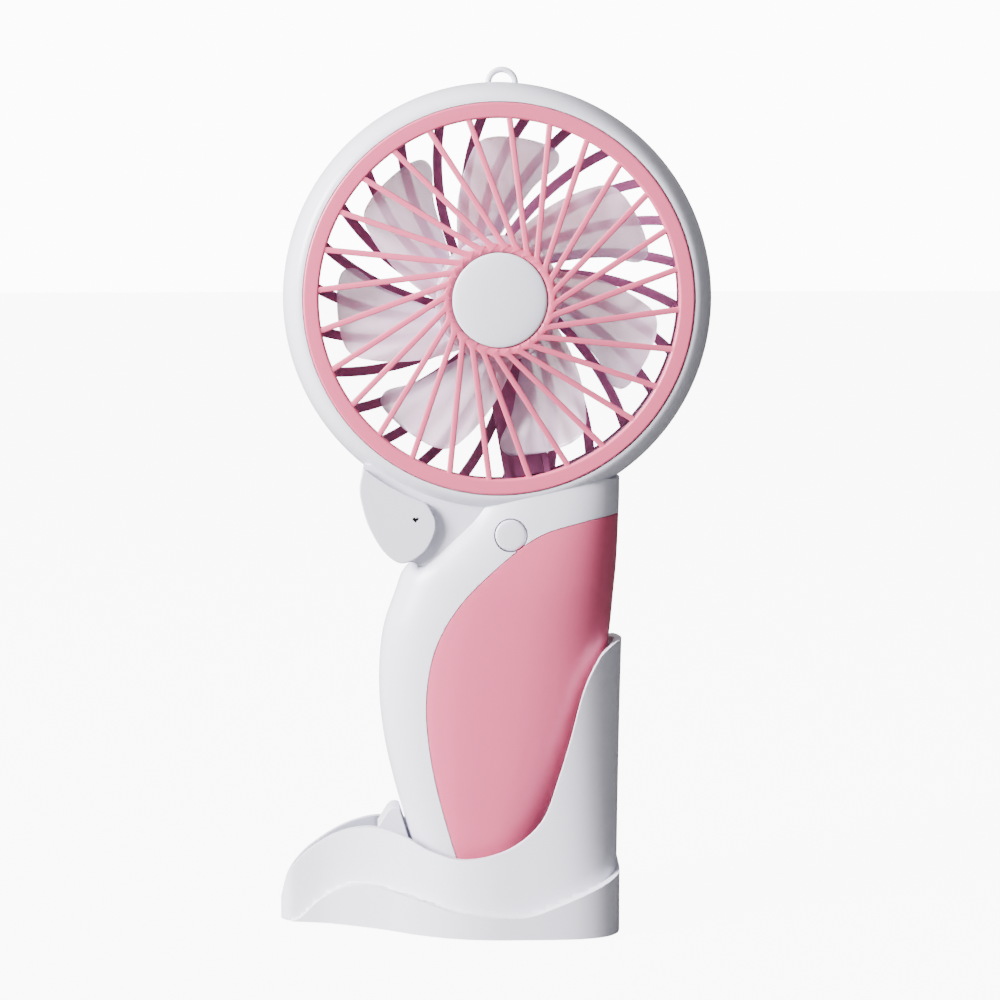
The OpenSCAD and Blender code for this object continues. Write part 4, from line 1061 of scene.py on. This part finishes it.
class MakeHubCap(bpy.types.Operator):
    """Builds the domed cap in the middle of the front grille"""
    bl_idname = "fan.make_hub_cap"
    bl_label = "Hub cap"

    def execute(self, context):
        face, radius = Head.hub_face, Head.cap
        dome = [(radius * cos(radians(t)), face - 0.1 + 0.9 * sin(radians(t)))
                for t in range(12, 90, 6)]
        cap = lathe("hub_disc", [
            (0.01, face - 2.7), (3.0, face - 2.7), (3.0, face - 1.55), (radius, face - 1.55),
            (radius, face - 0.25), (radius - 0.06, face - 0.02)] + dome + [(0.01, face + 0.8)])
        shaded(cap, 50)
        finished(cap, "fan", "white_plastic", "hub_cap")
        return {"FINISHED"}


class MakeImpeller(bpy.types.Operator):
    """Builds the hub and its curved, twisted blades"""
    bl_idname = "fan.make_impeller"
    bl_label = "Impeller"

    def execute(self, context):
        size = context.scene.fan_impeller
        depth = size.blade_depth / MM
        front = 0.9 - depth
        root, tip = 14.4, size.blade_radius / MM
        cup = -8.4
        hub = lathe("impeller_hub", [
            (0.01, cup), (13.0, cup), (13.9, cup + 0.15), (14.6, cup + 0.55), (14.9, cup + 1.2),
            (15.0, cup + 1.9), (15.0, cup + 9.4), (14.8, cup + 9.6), (14.0, cup + 9.6),
            (13.9, cup + 1.9), (13.4, cup + 1.3), (3.2, cup + 1.3), (3.0, cup + 5.5),
            (1.01, cup + 5.5), (1.01, cup + 1.3), (0.01, cup + 1.3)], facing=1)

        def place(u, v):
            share, first, second = along(BLADE_ROWS, 1 - (1 - v) ** 1.35)
            r = root + (tip - root) * min(share, 1.0)
            turn = 2 * pi * u
            s = 0.5 - 0.5 * cos(turn)
            thick = (1.15 - 0.5 * share) / 2 * abs(sin(turn)) ** 0.55 * (1 if turn < pi else -1)
            angle = radians(first + (second - first) * s)
            y = front + depth * s - 0.9 * sin(pi * s) + thick
            return Vector((r * cos(angle) * MM, y * MM, HEAD_Z + r * sin(angle) * MM))

        blade = wrapped("blade", 48, 40, place)
        blades = [turned(blade, 2 * pi * k / size.blades, "blade") for k in range(size.blades)]
        bpy.data.objects.remove(blade)
        for blade in blades:
            join_solids(hub, blade)
        hub.name = hub.data.name = "impeller_blades"
        shaded(hub, 40)
        finished(hub, "impeller", "blade_plastic", "impeller")
        return {"FINISHED"}


class MakeButton(bpy.types.Operator):
    """Builds the round power button"""
    bl_idname = "fan.make_button"
    bl_label = "Power button"

    def execute(self, context):
        low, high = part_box("power_button")
        flange = (high.x - low.x) / 2 / MM
        radius = flange - 0.9
        face, back = -low.y / MM, -high.y / MM
        edge = [(radius - 0.55 + 0.55 * cos(radians(t)), face - 0.55 + 0.45 * sin(radians(t)))
                for t in (0, 20, 40, 60, 80)]
        dome = [(radius * share, face - 0.1 * share ** 2) for share in (0.8, 0.6, 0.4, 0.2)]
        shelf = face - 2.9
        button = lathe("button_cap", [
            (0.01, back), (1.5, back), (1.5, shelf - 0.9), (flange, shelf - 0.9), (flange, shelf),
            (radius, shelf)] + edge + dome + [(0.01, face)], steps=72,
            centre=Vector((middle("power_button").x, 0, middle("power_button").z)))
        shaded(button, 45)
        finished(button, "button", "white_plastic", "power_button")
        return {"FINISHED"}


class MakeDock(bpy.types.Operator):
    """Builds the dock's flared shell, its plinth and its feet"""
    bl_idname = "fan.make_dock"
    bl_label = "Dock"

    def execute(self, context):
        size = context.scene.fan_dock
        height = Dock.height * MM
        self.left, self.height, self.size = DOCK_LOW.x, height, size
        foot = DOCK_LOW.z
        floor_top = foot + Dock.floor * MM
        shell = common(self.form("dock_body", 0, foot, height * 1.03), self.rim())
        cavity = self.form("cavity", size.wall, floor_top, height * 1.06)
        cut(shell, cavity)
        soften(shell, 0.62 * MM, 4, 55)
        plinth = common(self.form("plinth", -size.step, foot, foot + 20 * MM, plinth=True),
                        self.plinth_edge())
        well = self.form("well", size.wall, floor_top, foot + 30 * MM)
        cut(plinth, well)
        soften(plinth, 0.3 * MM, 3, 50)
        under = self.form("under", size.wall + size.step, foot - MM, foot + 3.2 * MM)
        join_solids(shell, plinth)
        cut(shell, under)
        self.furnish(shell, floor_top)
        shaded(shell, 35)
        finished(shell, "dock", "dock_white_plastic", "dock_shell")
        self.feet()
        return {"FINISHED"}

    def form(self, name, inset, low, high, plinth=False):
        """The dock's tapering body, or its straight plinth, inset by that much."""
        size, tall = self.size, self.height
        least = (0.1 * MM + inset / 6) if inset > 0 else 0.1 * MM

        def place(u, v):
            z = low + (high - low) * v
            flare = 1.0 if plinth else max(0.0, 1 - z / tall) ** 1.5
            lean = 0 if plinth else Dock.lean * MM * z / tall
            left = self.left + (0 if plinth else inset)
            right = self.left + size.length - size.step + lean - inset
            side = 1 if u < 0.5 else -1
            w = (1 - cos(2 * pi * u)) / 2
            w = w * 0.4 + (2 * u if u < 0.5 else 2 - 2 * u) * 0.6
            share, base, top = along(DOCK_ROWS, w)
            crown = top * size.top_depth / 2
            wide = crown + (base * (size.depth / 2 - size.step) - crown) * flare - inset
            # Where the first row is, both sides meet on the centre line
            if share <= 0:
                side = 0
            return Vector((left + (right - left) * min(max(share, 0), 1),
                           side * max(wide, least), z))

        return wrapped(name, 192, 12 if plinth else 60, place)

    def rim(self):
        rim = [(self.left + x * MM, z * self.height) for x, z in smooth_curve(RIM_ROWS, 8)]
        right = self.left + self.size.length + 4 * MM
        return prism("rim", [(self.left - 4 * MM, -MM), (self.left - 4 * MM, rim[0][1])] + rim
                     + [(right, self.height), (right, -MM)], -30 * MM, 30 * MM)

    def plinth_edge(self):
        edge = [(self.left + x * MM, z * MM) for x, z in smooth_curve(PLINTH_ROWS, 8)]
        right = self.left + self.size.length + 4 * MM
        return prism("plinth edge", [(self.left + 2 * MM, -MM)] + edge
                     + [(right, Dock.plinth_right * MM), (right, -MM)], -30 * MM, 30 * MM)

    def furnish(self, shell, floor_top):
        """The tab and the rest that hold the handle."""
        tab = []
        for i in range(13):
            z = floor_top - 0.5 * MM + (Dock.tab_top * MM - floor_top + 0.5 * MM) * i / 12
            share = (max(z, HANDLE_Z + MM) - HANDLE_Z) / HANDLE_LEN
            tab.append((self.handle_left(share) - 0.5 * MM, z))
        x, top = tab[-1]
        tab = ([(tab[0][0] - 9 * MM, floor_top - 0.5 * MM)] + tab
               + [(x - 0.9 * MM, top + 0.25 * MM), (x - 1.9 * MM, top + 0.1 * MM),
                  (x - 2.8 * MM, top - 0.7 * MM), (x - 5.2 * MM, top - 4.6 * MM)])
        tab = prism("tab", tab, -4.5 * MM, 4.5 * MM)
        bevel(tab, 0.3 * MM, 2, 50)
        join_solids(shell, tab)
        join_solids(shell, block("rest", (-9 * MM, -4 * MM, floor_top - 0.5 * MM),
                                 (-3 * MM, 4 * MM, floor_top + MM)))

    def handle_left(self, share):
        """The handle's left edge at a share of its length."""
        for k in range(200):
            row = along(HANDLE_ROWS, k / 200)
            if row[0] >= share:
                return row[1] * bpy.context.scene.fan_housing.handle_width
        return 0.0

    def feet(self):
        for k, (share, side) in enumerate(((0.24, 0), (0.62, 0.6), (0.62, -0.6), (0.92, 0.35),
                                           (0.92, -0.35)), 1):
            x = self.left + share * self.size.length
            y = side * self.size.depth / 2
            start()
            bpy.ops.mesh.primitive_cylinder_add(vertices=48, radius=3.5 * MM, depth=1.2 * MM,
                                                location=(x, y, 0.6 * MM))
            foot = named("dock_foot_%d" % k)
            bpy.ops.object.transform_apply()
            edit(foot, "DESELECT")
            bpy.ops.object.mode_set(mode="OBJECT")
            for face in foot.data.polygons:
                face.select = face.normal.z < -0.9
            bpy.ops.object.mode_set(mode="EDIT")
            bpy.ops.mesh.select_mode(type="FACE")
            bpy.ops.mesh.inset(thickness=2.2 * MM)
            bpy.ops.mesh.extrude_region_move(TRANSFORM_OT_translate={"value": (0, 0, 0.3 * MM)})
            bpy.ops.object.mode_set(mode="OBJECT")
            soften(foot, 0.12 * MM, 2, 50)
            finished(foot, "dock", "foot_rubber", *(("dock_feet",) if k == 1 else ()))


class MakePads(bpy.types.Operator):
    """Builds the two foam pads that steady the cell"""
    bl_idname = "fan.make_pads"
    bl_label = "Foam pads"

    def execute(self, context):
        low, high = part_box("battery_pads")
        for name, y0, y1 in (("cell_pad_front", low.y, low.y + 0.7 * MM),
                             ("cell_pad_rear", high.y - 0.7 * MM, high.y)):
            pad = block(name, (low.x, y0, low.z), (high.x, y1, high.z))
            edit(pad)
            bpy.ops.mesh.subdivide(number_cuts=6)
            bpy.ops.object.mode_set(mode="OBJECT")
            bevel(pad, 0.2 * MM, 3, 50)
            shaded(pad, 60)
            finished(pad, "fan", "foam", *(("battery_pads",) if y0 == low.y else ()))
        return {"FINISHED"}


# What the lights point at, and the width of the camera's sensor in mm
LIGHT_TARGET = (0, 0, 0.11)
SENSOR = 36
# How bright the floor glows beside the backdrop
FLOOR_SHARE = 0.8


class MakeStage(bpy.types.Operator):
    """Builds the pale floor, the soft lights and the camera"""
    bl_idname = "fan.make_stage"
    bl_label = "Stage"

    def execute(self, context):
        studio = context.scene.fan_studio
        start()
        bpy.ops.mesh.primitive_plane_add(size=8, location=(0, 0, 0))
        ground = named("floor")
        paper = bpy.data.materials.new("floor_paper")
        paper.use_nodes = True
        tree = paper.node_tree
        shader = tree.nodes["Principled BSDF"]
        shader.inputs["Base Color"].default_value = (0.16, 0.16, 0.16, 1)
        shader.inputs["Roughness"].default_value = 0.9
        shader.inputs["Specular IOR Level"].default_value = 0.1
        shader.inputs["Emission Color"].default_value = (1, 1, 1, 1)
        seen = add(tree, "ShaderNodeLightPath").outputs["Is Camera Ray"]
        tree.links.new(math(tree, "MULTIPLY", seen, studio.backdrop * FLOOR_SHARE),
                       shader.inputs["Emission Strength"])
        ground.data.materials.append(paper)
        for name, place, size, power in (
                ("key", (-0.85, -0.45, 0.5), 0.4, studio.key_power),
                ("front fill", (0.15, -1.3, 0.35), 1.0, studio.fill_power),
                ("top", (0.0, 0.1, 1.1), 0.9, studio.fill_power)):
            self.light(name, place, size, power)
        world = bpy.data.worlds.new("studio")
        context.scene.world = world
        world.use_nodes = True
        self.sky(world.node_tree, studio)
        self.camera(context, studio)
        return {"FINISHED"}

    def sky(self, tree, studio):
        """Soft light from all round, weaker from the right; behind the fan it is plain white."""
        low = tree.nodes["Background"]
        low.inputs["Color"].default_value = (1, 1, 1, 1)
        place = add(tree, "ShaderNodeTexCoord").outputs["Generated"]
        side = add(tree, "ShaderNodeSeparateXYZ", [("Vector", place)]).outputs["X"]
        fall = add(tree, "ShaderNodeMapRange", [("Value", side)])
        for key, value in (("From Min", -0.8), ("From Max", 0.9), ("To Min", studio.sky_left),
                           ("To Max", studio.sky_right)):
            fall.inputs[key].default_value = value
        tree.links.new(fall.outputs[0], low.inputs["Strength"])
        seen = add(tree, "ShaderNodeBackground", Color=(1, 1, 1, 1), Strength=studio.backdrop)
        mix = add(tree, "ShaderNodeMixShader",
                  [("Fac", add(tree, "ShaderNodeLightPath").outputs["Is Camera Ray"])])
        tree.links.new(low.outputs[0], mix.inputs[1])
        tree.links.new(seen.outputs[0], mix.inputs[2])
        tree.links.new(mix.outputs[0], tree.nodes["World Output"].inputs["Surface"])

    def light(self, name, place, size, power):
        """A square light that points at the fan."""
        data = bpy.data.lights.new(name, "AREA")
        data.shape, data.size, data.energy = "SQUARE", size, power
        lamp = bpy.data.objects.new(name, data)
        bpy.context.scene.collection.objects.link(lamp)
        lamp.matrix_world = self.aimed(Vector(place), Vector(LIGHT_TARGET))

    def aimed(self, place, target):
        """Stands at place and looks at target."""
        turn = (target - place).to_track_quat("-Z", "Y").to_matrix().to_4x4()
        return Matrix.Translation(place) @ turn

    def camera(self, context, studio):
        place, target = Vector(studio.camera_place), Vector(studio.camera_target)
        data = bpy.data.cameras.new("camera")
        data.sensor_width = SENSOR
        data.lens = SENSOR * (target - place).length / studio.view_height
        eye = bpy.data.objects.new("camera", data)
        context.scene.collection.objects.link(eye)
        eye.matrix_world = self.aimed(place, target)
        context.scene.camera = eye


class FanPanel(bpy.types.Panel):
    """Lists the fan's pieces and their settings"""
    bl_idname = "FAN_PT_pieces"
    bl_label = "Handheld Fan"
    bl_space_type = "VIEW_3D"
    bl_region_type = "UI"
    bl_category = "Fan"

    def draw(self, context):
        for name in GROUPS:
            box = self.layout.box()
            settings = getattr(context.scene, name)
            for key in settings.bl_rna.properties.keys():
                if key not in ("rna_type", "name"):
                    box.prop(settings, key)
        for operator in PIECES:
            self.layout.operator(operator.bl_idname)


GROUPS = {
    "fan_housing": FanHousing, "fan_grilles": FanGrilles, "fan_impeller": FanImpeller,
    "fan_dock": FanDock, "fan_finish": FanFinish, "fan_studio": FanStudio,
}
PIECES = (MakeFinishes, MakeHousing, MakePanels, MakeCheek, MakeLoop, MakeGrilles, MakeHubCap,
          MakeImpeller, MakeButton, MakeDock, MakePads, MakeStage)


def register():
    for item in (*GROUPS.values(), *PIECES, FanPanel):
        bpy.utils.register_class(item)
    for name, group in GROUPS.items():
        setattr(bpy.types.Scene, name, bpy.props.PointerProperty(type=group))


def unregister():
    for name in GROUPS:
        delattr(bpy.types.Scene, name)
    for item in reversed((*GROUPS.values(), *PIECES, FanPanel)):
        bpy.utils.unregister_class(item)


def main():
    register()
    start()
    for operator in PIECES:
        group, name = operator.bl_idname.split(".")
        getattr(getattr(bpy.ops, group), name)()
    start()


if __name__ == "__main__":
    main()
